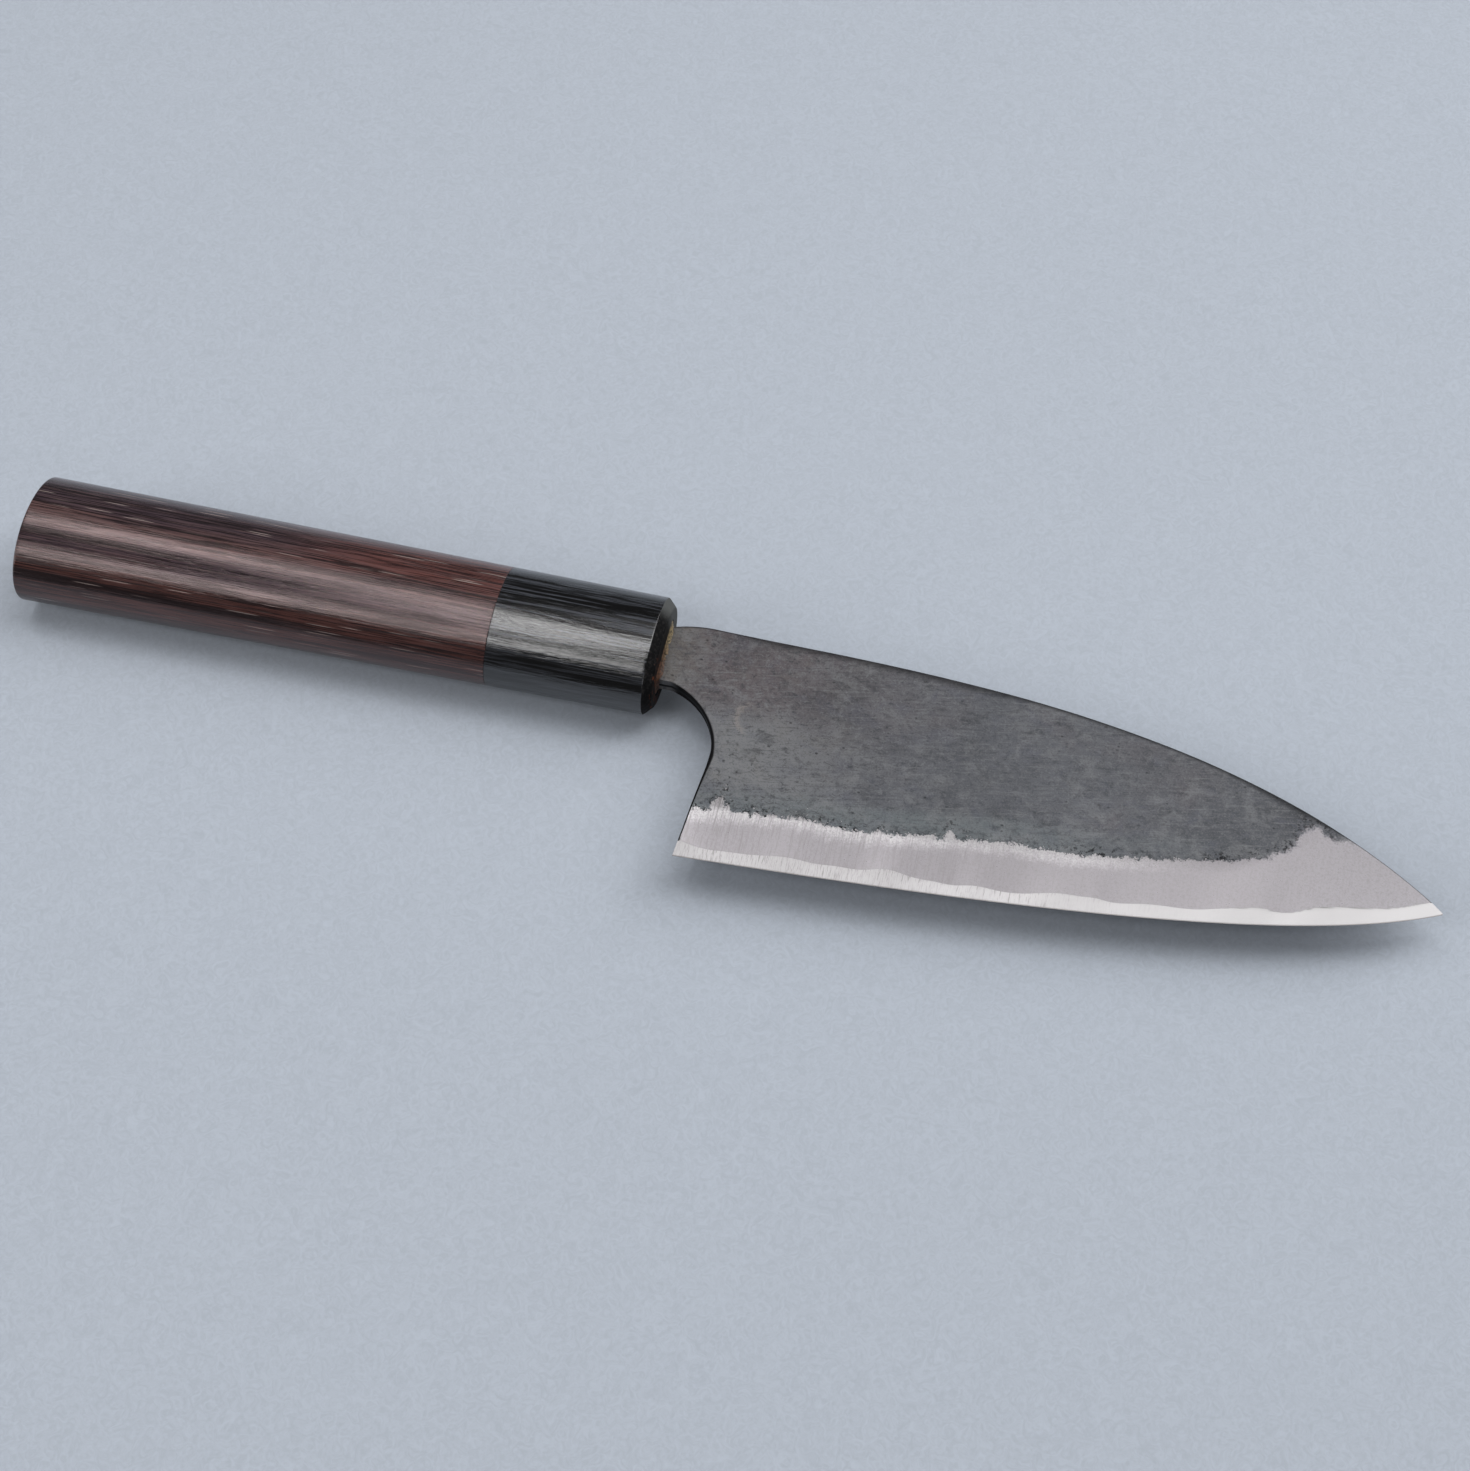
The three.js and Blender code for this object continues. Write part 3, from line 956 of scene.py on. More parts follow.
@dataclass(frozen=True)
class BladeForm:
    """Outline and section of the blade and tang; angles are degrees."""

    length: float = 135.2 * MM
    heel_setback: float = 11.4 * MM
    heel_drop: float = 41.0 * MM
    tip_drop: float = 22.3 * MM
    edge_start: float = 2.5
    edge_straight: float = 78.0 * MM
    edge_end: float = 25.6
    edge_belly: float = 22.0 * MM
    shoulder_setback: float = 8.0 * MM
    shoulder_rise: float = 7.45 * MM
    spine_start: float = -1.7
    spine_straight: float = 34.6 * MM
    spine_end: float = -38.4
    spine_drop: float = 53.0 * MM
    neck_height: float = 12.2 * MM
    neck_length: float = 2.9 * MM
    choil_radius: float = 14.5 * MM
    choil_start: float = 73.5
    tang_length: float = 78.0 * MM
    tang_root: float = 8.0 * MM
    tang_root_height: float = 10.0 * MM
    tang_end_height: float = 5.5 * MM
    tang_end_thickness: float = 2.0 * MM
    neck_thickness: float = 3.4 * MM
    heel_thickness: float = 2.6 * MM
    tip_thickness: float = 0.9 * MM
    core_thickness: float = 0.6 * MM
    edge_thickness: float = 0.08 * MM
    bevel_width: float = 10.8 * MM
    bevel_meeting: float = 0.05 * MM
    sweep_start: float = 42.0 * MM
    sweep_run: float = 18.0 * MM
    sweep_rise: float = 9.0 * MM
    core_show: float = 2.6 * MM
    waves: tuple[Wave, ...] = (Wave(0.24, 27, 134), Wave(0.31, 16, 15))
    scallops: tuple[Triple, ...] = (
        (0.5, 0.70, 2.0), (6.0, -0.45, 3.0), (29.0, 0.70, 3.5), (38.0, 0.65, 3.5), (50.0, -0.60, 2.8),
        (75.0, 0.42, 2.2), (104.0, 0.55, 2.6), (112.8, 1.05, 4.2), (120.5, 0.55, 5.5),
    )
    samples: int = 600
    neck_samples: int = 40

    @property
    def heel(self) -> np.ndarray:
        """The corner where the edge starts."""
        return np.array([self.heel_setback, -self.heel_drop])

    @property
    def tip(self) -> np.ndarray:
        """The point of the blade."""
        return np.array([self.heel_setback + self.length, -self.tip_drop])

    def edge(self) -> np.ndarray:
        """The cutting edge: a cubic curve, straight behind and bellied in front.

        Returns:
            Points from heel to tip, shape (samples, 2).
        """
        ahead = heading(self.edge_start, self.edge_straight)
        back = heading(self.edge_end, self.edge_belly)
        controls = np.stack([self.heel, self.heel + ahead, self.tip - back, self.tip])
        return bezier(controls, np.linspace(0, 1, self.samples))

    def spine(self) -> np.ndarray:
        """The back: the neck's rise to the shoulder on a parabola, then a cubic fall to the tip.

        Returns:
            Points from the mouth to the tip, shape (n, 2).
        """
        shoulder = np.array([self.shoulder_setback, self.shoulder_rise])
        ahead = heading(self.spine_start, self.spine_straight)
        back = heading(self.spine_end, self.spine_drop)
        controls = np.stack([shoulder, shoulder + ahead, self.tip - back, self.tip])
        fall = bezier(controls, np.linspace(0, 1, self.samples))
        t = np.linspace(0, 1, self.neck_samples)[:-1, None]
        mouth = np.array([0, self.neck_height / 2])
        bend = np.array([self.shoulder_setback / 2, self.shoulder_rise])
        rise = (1 - t) ** 2 * mouth + 2 * t * (1 - t) * bend + t**2 * shoulder
        return np.concatenate([rise, fall])

    def choil_arc(self) -> tuple[np.ndarray, float]:
        """The choil's arc, which leaves the neck at its start angle and touches the line to the heel.

        Returns:
            Its centre, and the angle in degrees at which it runs into the heel's line.
        """
        start = np.array([self.neck_length, -self.neck_height / 2])
        centre = start - heading(self.choil_start, self.choil_radius)
        to_heel = self.heel - centre
        bend = math.acos(self.choil_radius / math.hypot(*to_heel))
        return centre, math.degrees(math.atan2(to_heel[1], to_heel[0]) + bend)

    def choil(self, count: int) -> np.ndarray:
        """Underside of the neck: a straight run, then an arc that turns down to meet the heel's line.

        Args:
            count: points on the arc.

        Returns:
            Points from the mouth to the heel's line, shape (n, 2).
        """
        centre, end = self.choil_arc()
        angles = np.radians(np.linspace(self.choil_start, end, count))
        arc = centre + self.choil_radius * np.stack([np.cos(angles), np.sin(angles)], axis=1)
        run = np.linspace(0, 1, count // 5)[:-1, None] * np.array([self.neck_length, 0])
        return np.concatenate([run - np.array([0, self.neck_height / 2]), arc])

    def inside(self, x: np.ndarray, y: np.ndarray) -> np.ndarray:
        """Distance in from the neck's underside, the choil's arc or the heel's line, whichever is met first.

        Args:
            x: along the blade.
            y: across the blade.

        Returns:
            The distance, zero on the outline.
        """
        centre, end = self.choil_arc()
        east, north = x - centre[0], y - centre[1]
        angle = np.arctan2(north, east)
        nearest = np.clip(angle, math.radians(end), math.radians(self.choil_start))
        round_choil = np.hypot(east, north) * np.cos(angle - nearest) - self.choil_radius
        return np.where(x < self.neck_length, y + self.neck_height / 2, round_choil)

    def edge_height(self, x: np.ndarray) -> np.ndarray:
        """Height of the cutting edge at x."""
        points = self.edge()
        return np.interp(x, points[:, 0], points[:, 1])

    def spine_height(self, x: np.ndarray) -> np.ndarray:
        """Height of the spine at x."""
        points = self.spine()
        return np.interp(x, points[:, 0], points[:, 1])

    def show(self, x: np.ndarray) -> np.ndarray:
        """Height of the bare core above the edge: a mean, slow waves and the bells of the scallops.

        Args:
            x: along the blade.

        Returns:
            Heights in the shape of x.
        """
        along = (x - self.heel_setback) / MM
        slow = sum(wave.at(along) for wave in self.waves)
        return self.core_show + MM * (slow + bells(along, self.scallops))

    def bevel(self, x: np.ndarray) -> np.ndarray:
        """Height of the bevel above the edge, sweeping up towards the spine before the tip."""
        swept = np.clip(x - (self.tip[0] - self.sweep_start), 0, None) / self.sweep_run
        return self.bevel_width + self.sweep_rise * swept**2

    def flat_half(self, x: np.ndarray, y: np.ndarray) -> np.ndarray:
        """Half thickness of the forged flats and of the tang behind them: the lower of two planes.

        The plane of the flats passes through the thicknesses at the neck, above the heel and at the tip.

        Args:
            x: along the blade.
            y: across the blade.

        Returns:
            Half the thickness.
        """
        places = np.array([[self.heel[0], self.heel[1] + self.bevel_width], self.tip])
        losses = (np.array([self.heel_thickness, self.tip_thickness]) - self.neck_thickness) / 2
        slope_x, slope_y = np.linalg.solve(places, losses)
        tang_slope = (self.neck_thickness - self.tang_end_thickness) / 2 / self.tang_length
        return self.neck_thickness / 2 + slope_y * y + np.minimum(slope_x * x, tang_slope * x)

    def outer_half(self, x: np.ndarray, y: np.ndarray) -> np.ndarray:
        """Half thickness of the whole blade: the flats or the bevel, whichever is lower, softly met.

        Args:
            x: along the blade.
            y: across the blade.

        Returns:
            Half the thickness.
        """
        foot, width = self.edge_height(x), self.bevel(x)
        show, core, soft = self.show(x), self.core_thickness / 2, self.bevel_meeting
        flat = self.flat_half(x, y)
        climb = (self.flat_half(x, foot + width) - core) / (width - show)
        ground = core + climb * (y - foot - show)
        gap = np.clip(0.5 + 0.5 * (ground - flat) / soft, 0, 1)
        return ground * (1 - gap) + flat * gap - soft * gap * (1 - gap)

    def core_half(self, x: np.ndarray, y: np.ndarray) -> np.ndarray:
        """Half thickness of the core: level above its line, then a straight bevel down to the edge."""
        share = np.clip((y - self.edge_height(x)) / self.show(x), 0, 1)
        return (self.edge_thickness + share * (self.core_thickness - self.edge_thickness)) / 2


@dataclass(frozen=True)
class ScaleLine:
    """The uneven line where grinding stopped and the forge scale begins, in millimetres."""

    points: Table = (
        (11.0, -31.9), (25.0, -29.9), (31.0, -29.2), (41.0, -29.5), (55.0, -27.6), (70.0, -25.7),
        (80.0, -25.3), (100.0, -22.0), (110.0, -19.8), (116.0, -17.3), (119.2, -14.8), (120.8, -11.5),
        (122.4, -10.2), (125.0, -11.4), (131.0, -11.8),
    )
    flares: tuple[Triple, ...] = (
        (17.6, 3.4, 0.60), (16.6, 2.2, 0.7), (18.9, 1.2, 0.5), (58.9, 1.9, 0.7), (46.5, 0.7, 1.2),
    )
    slope_step: float = 0.05

    def height(self, along: np.ndarray) -> np.ndarray:
        """Height of the line: a smooth curve through the points, with a bell-shaped flare at a few places."""
        return smooth_line(np.array(self.points), along) + bells(along, self.flares)

    def depth(self, x: np.ndarray, y: np.ndarray) -> np.ndarray:
        """Depth below the line, in millimetres: the fall from the line, shortened where the line is steep.

        Args:
            x: along the blade, metres.
            y: across the blade, metres.

        Returns:
            Positive where the iron is ground bare.
        """
        along, step = x / MM, self.slope_step
        slope = (self.height(along + step) - self.height(along - step)) / (2 * step)
        return (self.height(along) - y / MM) / np.sqrt(1 + slope**2)

    def smooth_depth(self, x: np.ndarray, y: np.ndarray) -> np.ndarray:
        """Fall from the line without its flares, in millimetres; x and y are metres."""
        return smooth_line(np.array(self.points), x / MM) - y / MM


@dataclass(frozen=True)
class Sheet:
    """A grid over the blade: lines from the lower outline up to the spine, all cut at the same shares."""

    lower: np.ndarray
    upper: np.ndarray
    easing: np.ndarray
    share: np.ndarray

    def plan(self) -> np.ndarray:
        """Points of the grid, shape (lines, shares, 2)."""
        v = self.share[None, :, None]
        return self.lower[:, None] * (1 - v) + self.upper[:, None] * v

    def span(self) -> np.ndarray:
        """Length of each line, as a column."""
        return np.linalg.norm(self.upper - self.lower, axis=1)[:, None]

    def from_spine(self) -> np.ndarray:
        """Distance of each point from the upper end of its line."""
        return (1 - self.share) * self.span()


@dataclass
class Blade:
    """The laminated blade: a hard core between two soft iron sides, running back into the tang.

    The tables of pairs are in millimetres: those of the spine go by x, those of the choil's wall by y.
    """

    placement: Placement
    form: BladeForm = field(default_factory=BladeForm)
    scale_line: ScaleLine = field(default_factory=ScaleLine)
    spine_ease: float = 0.60 * MM
    # painted shade along the spine: width and strength of its dark band, and a thin dark line towards the tip
    spine_shade: Table = (
        (0.0, 0.02), (12.0, 0.40), (20.0, 2.20), (30.0, 1.90), (45.0, 2.00), (58.0, 2.40), (70.0, 1.20),
        (100.0, 0.90), (118.0, 1.50), (123.0, 1.20), (128.0, 0.40), (146.0, 0.20),
    )
    spine_tint: float = 0.58
    spine_line: Table = ((112.0, 0.60), (122.0, 0.28), (130.0, 0.14))
    line_least_shade: float = 0.1 * MM
    wall_ease: Table = (
        (-41.0, 0.20), (-32.0, 0.30), (-25.5, 0.45), (-20.0, 0.80), (-15.0, 0.70), (-10.0, 0.50),
        (-6.0, 0.32),
    )
    # how far the painted shade of the choil's wall reaches onto the face
    wall_reach: Table = ((-41.0, 3.6), (-20.0, 3.3), (-15.0, 2.5), (-11.0, 1.6), (-6.0, 1.2))
    ease_share: float = 0.8
    neck_bare: float = 2.2 * MM
    neck_plain: float = 10.0 * MM
    unevenness: float = 0.05 * MM
    swell_cell: float = 11.0 * MM
    ripple_cell: float = 3.2 * MM
    ripple_share: float = 0.35
    tip_margin: float = 0.02 * MM
    core_bare_fade: float = 0.3 * MM
    core_bare_behind: float = 0.5 * MM
    over_choil: float = 13.0 * MM
    over_heel: float = 34.0 * MM
    line_samples: int = 1500
    tang_steps: int = 14
    choil_steps: int = 70
    heel_steps: int = 72
    cladding_steps: int = 370
    core_steps: int = 380
    rows: int = 132
    core_foot: float = 0.10
    core_foot_rows: int = 34
    core_rows: int = 26

    def tang_edges(self) -> tuple[np.ndarray, np.ndarray]:
        """Outline of the tang from its end to the mouth: two straight tapers, alike above and below.

        Returns:
            Lower and upper points, shape (n, 2) each.
        """
        f, count = self.form, self.tang_steps
        end_to_root = np.linspace(-f.tang_length, -f.tang_root, count)
        x = np.concatenate([end_to_root, np.linspace(-f.tang_root, 0, count)[1:-1]])
        heights = np.array([f.tang_end_height, f.tang_root_height, f.neck_height])
        half = np.interp(x, [-f.tang_length, -f.tang_root, 0], heights / 2)
        return np.stack([x, -half], axis=1), np.stack([x, half], axis=1)

    def sheet(self, floor: np.ndarray, share: np.ndarray) -> Sheet:
        """Grid over the blade and tang, from the end of the tang to the tip.

        The lower outline follows the tang, the choil, the heel's line and then the given floor line. The
        upper one follows the tang and the spine, spread so that the lines between the two fan out evenly.

        Args:
            floor: lower line of the blade in front of the heel, shape (n, 2), ending on the spine.
            share: places along each line, 0 to 1.

        Returns:
            The grid, whose easing is zero where the lower outline is no standing wall.
        """
        tang_low, tang_high = self.tang_edges()
        choil = self.form.choil(self.choil_steps)
        drop = choil[-1] + np.linspace(0, 1, self.heel_steps)[1:-1, None] * (floor[0] - choil[-1])
        lower = np.concatenate([tang_low, choil, drop, floor])
        forward = (floor[:, 0] - floor[0, 0]) / (floor[-1, 0] - floor[0, 0])
        spread = np.concatenate([
            np.linspace(0, self.over_choil, len(choil)),
            np.linspace(self.over_choil, self.over_heel, len(drop) + 2)[1:-1],
            self.over_heel + (floor[-1, 0] - self.over_heel) * forward,
        ])
        upper = np.concatenate([tang_high, np.stack([spread, self.form.spine_height(spread)], axis=1)])
        standing = np.arange(len(lower)) < len(lower) - len(floor)
        return Sheet(lower, upper, read_table(self.wall_ease, lower[:, 1]) * standing, share)

    def lamination(self) -> np.ndarray:
        """Lower line of the soft iron, from heel to spine: the edge raised by the bare core's height.

        Returns:
            Points of the line, shape (n, 2).
        """
        f = self.form
        x = np.linspace(f.heel_setback, f.tip[0], self.line_samples)
        line = np.stack([x, f.edge_height(x) + f.show(x)], axis=1)
        run = f.choil(self.choil_steps)[-1]
        on_heel = f.heel + (run - f.heel) * (line[0, 1] - f.heel[1]) / (run[1] - f.heel[1])
        below_spine = line[:, 1] < f.spine_height(x) - self.tip_margin
        line = line[(line[:, 0] > on_heel[0]) & below_spine]
        places = np.linspace(0, len(line) - 1, self.cladding_steps).astype(int)
        return np.concatenate([on_heel[None], line[places]])

    def inward(self, sheet: Sheet) -> np.ndarray:
        """Distance in from the lower outline: the true one before the mouth, along the grid behind it."""
        x, y = np.moveaxis(sheet.plan(), -1, 0)
        return np.where(x > 0, self.form.inside(x, y), sheet.share * sheet.span())

    def outer_face(self, sheet: Sheet, side: Side) -> np.ndarray:
        """Height of one side's outer surface above the middle of the blade.

        It is half the blade's thickness, slowly uneven where the scale is left on, and falls off in a quarter
        circle at the standing lower outline and at the spine.

        Args:
            sheet: the grid.
            side: which face of the blade.

        Returns:
            Heights in the shape of the grid.
        """
        f, core = self.form, self.form.core_thickness / 2
        x, y = np.moveaxis(sheet.plan(), -1, 0)
        forged = np.clip(-self.scale_line.depth(x, y) / 2, 0, 1) * np.clip(x / self.neck_plain, 0, 1)
        ripple = value_noise(x, y, self.ripple_cell, side.seed + 1)
        swell = value_noise(x, y, self.swell_cell, side.seed) + self.ripple_share * ripple
        half = f.outer_half(x, y) + self.unevenness * forged * swell
        room = self.ease_share * np.clip(half - core, 0, None)
        low_fall = eased_drop(self.inward(sheet), np.minimum(sheet.easing[:, None], room))
        high_fall = eased_drop(sheet.from_spine(), np.minimum(self.spine_ease, room))
        return np.maximum(half - low_fall - high_fall, core)

    def wall_trait(self, sheet: Sheet) -> np.ndarray:
        """Share of black on the choil's wall, its rounded rim and along the spine, for the whole ring: partly
        unground scale, partly painted shade of those rounded edges.

        It fades with the distance from either edge. It is left off the neck behind the choil.

        Args:
            sheet: the grid.

        Returns:
            Shares from 0 to 1: the grid's, then those of the back's upper and lower point.
        """
        x, y = np.moveaxis(sheet.plan(), -1, 0)
        unshaded_neck = np.clip(2 - x / self.neck_bare, 0, 1)
        reach = read_table(self.wall_reach, y) / MM
        near_wall = np.clip(reach - 3 * self.inward(sheet) / read_table(self.wall_ease, y), 0, 1)
        along, from_spine = sheet.upper[:, :1], sheet.from_spine()
        shade, line = read_table(self.spine_shade, along), read_table(self.spine_line, along)
        tint = self.spine_tint * np.clip(1.5 - 1.5 * from_spine / shade, 0, 1)
        dark_line = np.clip(1 - from_spine / line, 0, 1) * (shade > self.line_least_shade)
        near_spine = np.maximum(tint, dark_line)
        # painted shade, partly unground scale: black near the choil's wall and along the spine, left off the
        # neck
        face = np.maximum(near_wall * (1 - unshaded_neck), near_spine)
        standing = (sheet.easing > 0)[:, None] * (1 - unshaded_neck[:, :1])
        return np.concatenate([face, near_spine[:, -1:], standing], axis=1)

    def cladding(self, side: Side) -> bpy.types.Object:
        """One soft iron side: its outer surface over the outline, on a flat back that lies on the core.

        Args:
            side: which face of the blade.

        Returns:
            The dressed piece.
        """
        sheet = self.sheet(self.lamination(), clustered(self.rows))
        plan = sheet.plan()
        outer = np.concatenate([plan, self.outer_face(sheet, side)[..., None]], axis=2)
        level = np.full((len(plan), 1), self.form.core_thickness / 2)
        back = np.stack([np.hstack([sheet.upper, level]), np.hstack([sheet.lower, level])], axis=1)
        rings = np.concatenate([outer, back], axis=1) * np.array([1, 1, side.value])
        x, y = np.moveaxis(plan, -1, 0)
        depths = {"ground": self.scale_line.depth(x, y), "fall": self.scale_line.smooth_depth(x, y)}
        traits = {
            name: np.concatenate([values, values[:, -1:], values[:, :1]], axis=1)
            for name, values in depths.items()
        }
        traits["wall"] = self.wall_trait(sheet)
        piece = skin(f"{side.node}_forged", self.placement.carry(rings), Ends.CAPPED, traits)
        return dress(piece, ForgedIron().material(side), side.node)

    def core(self) -> bpy.types.Object:
        """The hard core: a level plate whose foot is bevelled on both faces down to the edge.

        A point of the grid lies between the lower and the upper outline, once on each face.

        Returns:
            The dressed piece.
        """
        f, edge, foot = self.form, self.form.edge(), self.core_foot
        floor = edge[np.linspace(0, len(edge) - 3, self.core_steps).astype(int)]
        above_foot = foot + (1 - foot) * clustered(self.core_rows)[1:]
        share = np.concatenate([np.linspace(0, foot, self.core_foot_rows), above_foot])
        plan = self.sheet(floor, share).plan()
        x, y = np.moveaxis(plan, -1, 0)
        half = f.core_half(x, y)[..., None]
        top = np.concatenate([plan, half], axis=2)
        under = np.concatenate([plan, -half], axis=2)[:, ::-1]
        above_edge = y - f.edge_height(x)
        in_front = x > f.heel_setback - self.core_bare_behind
        bare = np.clip(1 - (above_edge - f.show(x)) / self.core_bare_fade, 0, 1) * in_front
        values = {"bare": bare, "above_edge": above_edge / MM + (x < f.heel_setback)}
        traits = {name: np.concatenate([face, face[:, ::-1]], axis=1) for name, face in values.items()}
        rings = self.placement.carry(np.concatenate([top, under], axis=1))
        piece = skin("core_steel_ground", rings, Ends.CAPPED, traits)
        return dress(piece, BareCore().material(), "core_steel")

    def build(self) -> list[bpy.types.Object]:
        """Builds the core and both sides."""
        return [self.core(), self.cladding(Side.RIGHT), self.cladding(Side.LEFT)]


@dataclass
class Handle:
    """The oval handle: rosewood grip, black ferrule, hidden dowel and bedding, and the seal at the mouth.

    The seal's lip is a profile of pairs in millimetres, x and distance out from the slot. Its unevenness is a
    sum of waves round the neck, each with its share, count and lead in radians.
    """

    placement: Placement
    blade: BladeForm = field(default_factory=BladeForm)
    length: float = 124.0 * MM
    butt_height: float = 26.0 * MM
    butt_thickness: float = 19.8 * MM
    butt_easing: float = 0.4 * MM
    mouth_height: float = 24.1 * MM
    mouth_thickness: float = 17.8 * MM
    mouth_chamfer: float = 1.6 * MM
    rim_round: float = 0.22 * MM
    rim_share: float = 0.7
    ferrule_length: float = 31.7 * MM
    mouth_wall: float = 8.0 * MM
    dowel_wall: float = 0.85 * MM
    dowel_in_grip: float = 20.0 * MM
    bedding_wall: float = 1.5 * MM
    seal_wall: float = 0.8 * MM
    seal_depth: float = 2.5 * MM
    lip: Table = (
        (-0.2, 0.0), (0.95, -0.27), (0.62, -0.12), (0.34, 0.10), (0.22, 0.30), (0.16, 0.48), (0.06, 0.68),
        (-0.1, 0.8),
    )
    lip_free: tuple[float, float] = (-0.1 * MM, 0.8 * MM)
    lip_swing: float = 0.30 * MM
    lip_waves: tuple[Triple, ...] = ((0.5, 5, 0.6), (0.3, 11, 2.0), (0.2, 23, 0.0))
    glue_gap: float = 0.25 * MM
    seam_ease: float = 0.09 * MM
    sides: int = 200
    grip_steps: int = 180
    ferrule_steps: int = 70
    face_steps: int = 10
    bore_steps: int = 8

    def section(self, x: np.ndarray, inset: np.ndarray | float = 0.0) -> np.ndarray:
        """Outer ovals along the straight taper from butt to mouth, drawn in all round by an inset.

        Args:
            x: place of each ring.
            inset: how far each ring is drawn in.

        Returns:
            Rings, shape (len(x), sides, 3).
        """
        share = np.atleast_1d(x) / self.length + 1
        height = self.butt_height + share * (self.mouth_height - self.butt_height)
        thickness = self.butt_thickness + share * (self.mouth_thickness - self.butt_thickness)
        return ovals(x, height - 2 * inset, thickness - 2 * inset, self.sides)

    def tang_size(self, x: float) -> tuple[float, float]:
        """The tang behind the mouth wall, on its straight tapers.

        Args:
            x: place along the tang.

        Returns:
            Height and thickness there.
        """
        f = self.blade
        share = (-x - f.tang_root) / (f.tang_length - f.tang_root)
        height = f.tang_root_height + share * (f.tang_end_height - f.tang_root_height)
        thickness = f.neck_thickness + x / f.tang_length * (f.neck_thickness - f.tang_end_thickness)
        return height, thickness

    def bore(self, start: float, stop: float) -> np.ndarray:
        """Round bore for the dowel, whose size follows from the tang's root.

        Args:
            start: place of the first ring.
            stop: place of the last ring.

        Returns:
            Rings, shape (bore_steps, sides, 3).
        """
        height, thickness = self.tang_size(-self.mouth_wall)
        tang = math.hypot(height + 2 * self.glue_gap, thickness + 2 * self.glue_gap)
        diameter = tang + 2 * self.dowel_wall + 2 * self.glue_gap
        return ovals(np.linspace(start, stop, self.bore_steps), diameter, diameter, self.sides)

    def grip(self) -> bpy.types.Object:
        """The rosewood grip as one run of rings: butt face, eased rim, taper, front face, bore and mortise.

        The rim is a quarter circle. The butt face and the mortise's end are drawn in to single points.

        Returns:
            The dressed piece.
        """
        butt, joint, ease = -self.length, -self.ferrule_length, self.butt_easing
        face = self.section(np.full(self.face_steps - 1, butt), ease)
        face[..., 1:] *= np.linspace(0, 1, self.face_steps)[:-1, None, None]
        turn = np.linspace(0, np.pi / 2, 7)
        rim = self.section(butt + ease * (1 - np.cos(turn)), ease * (1 - np.sin(turn)))
        taper = self.section(np.linspace(butt + ease, joint - self.seam_ease, self.grip_steps)[1:])
        seam = self.section(np.array([joint]), self.seam_ease)
        back = joint - self.dowel_in_grip - self.glue_gap
        bore = self.bore(joint, back)
        height, thickness = self.tang_size(back)
        room = 2 * (2 * self.glue_gap + self.bedding_wall)
        end = -self.blade.tang_length - 2 * self.glue_gap - self.bedding_wall
        mortise = slots(np.linspace(back, end, 6), height + room, thickness + room, self.sides)
        pole = mortise[-1:] * np.array([1, 0, 0])
        front = between(seam[0], bore[0], 3)
        rings = np.concatenate([face, rim, taper, seam, front, bore, mortise, pole])
        piece = skin("grip", self.placement.carry(rings), Ends.POLES)
        return dress(piece, Rosewood().material(), "handle_body")

    def mouth_rim(self) -> np.ndarray:
        """The ferrule's chamfer: a straight slope between two corners that are softened by parabolas.

        Returns:
            Rings from the end of the taper to the mouth's face.
        """
        cut, soft = self.mouth_chamfer, self.rim_round
        corner = soft * self.rim_share
        turn = np.linspace(0, 1, 6)[1:]
        first = self.section(-cut - soft * (1 - turn) + corner * turn, corner * turn**2)
        stop = cut - corner
        inset = corner + (stop - corner) * np.linspace(0, 1, 8)[1:-1]
        slope = self.section(inset - cut, inset)
        last = self.section(-corner * (1 - turn) ** 2, stop + (soft + corner) * turn)
        return np.concatenate([first, slope, last])

    def collar(self) -> bpy.types.Object:
        """The black ferrule as a loop of rings: taper, chamfer, face, seal pocket, slot, bore and back face.

        Returns:
            The dressed piece.
        """
        f, gap, joint, cut = self.blade, self.glue_gap, -self.ferrule_length, self.mouth_chamfer
        seam = self.section(np.array([joint]), self.seam_ease)
        taper = self.section(np.linspace(joint + self.seam_ease, -cut - self.rim_round, self.ferrule_steps))
        rim = self.mouth_rim()
        height, thickness = f.neck_height + 2 * gap, f.neck_thickness + 2 * gap
        room = 2 * (self.seal_wall + gap)
        pocket = slots(np.array([0, -self.seal_depth]), height + room, thickness + room, self.sides)
        slot = slots(np.linspace(-self.seal_depth, -self.mouth_wall, 4), height, thickness, self.sides)
        bore = self.bore(-self.mouth_wall, joint)
        face, back = between(rim[-1], pocket[0], 6), between(bore[-1], seam[0], 3)
        rings = np.concatenate([seam, taper, rim, face, pocket, slot, bore, back])
        piece = skin("collar", self.placement.carry(rings), Ends.LOOPED)
        dress(piece, BlackWood().material(), "ferrule")
        mouth = self.placement.origin[0]
        return self.dull_end(piece, mouth - cut, EndGrain(mouth).material())

    def dull_end(
        self, piece: bpy.types.Object, start: float, material: bpy.types.Material
    ) -> bpy.types.Object:
        """Gives the faces whose middle lies beyond a place on x a second finish.

        Args:
            piece: the dressed object.
            start: where the second finish begins.
            material: the second finish.

        Returns:
            The same object.
        """
        faces = piece.data.polygons
        middles = np.empty(3 * len(faces))
        faces.foreach_get("center", middles)
        piece.data.materials.append(material)
        faces.foreach_set("material_index", (middles[::3] > start).astype(np.int32))
        return piece

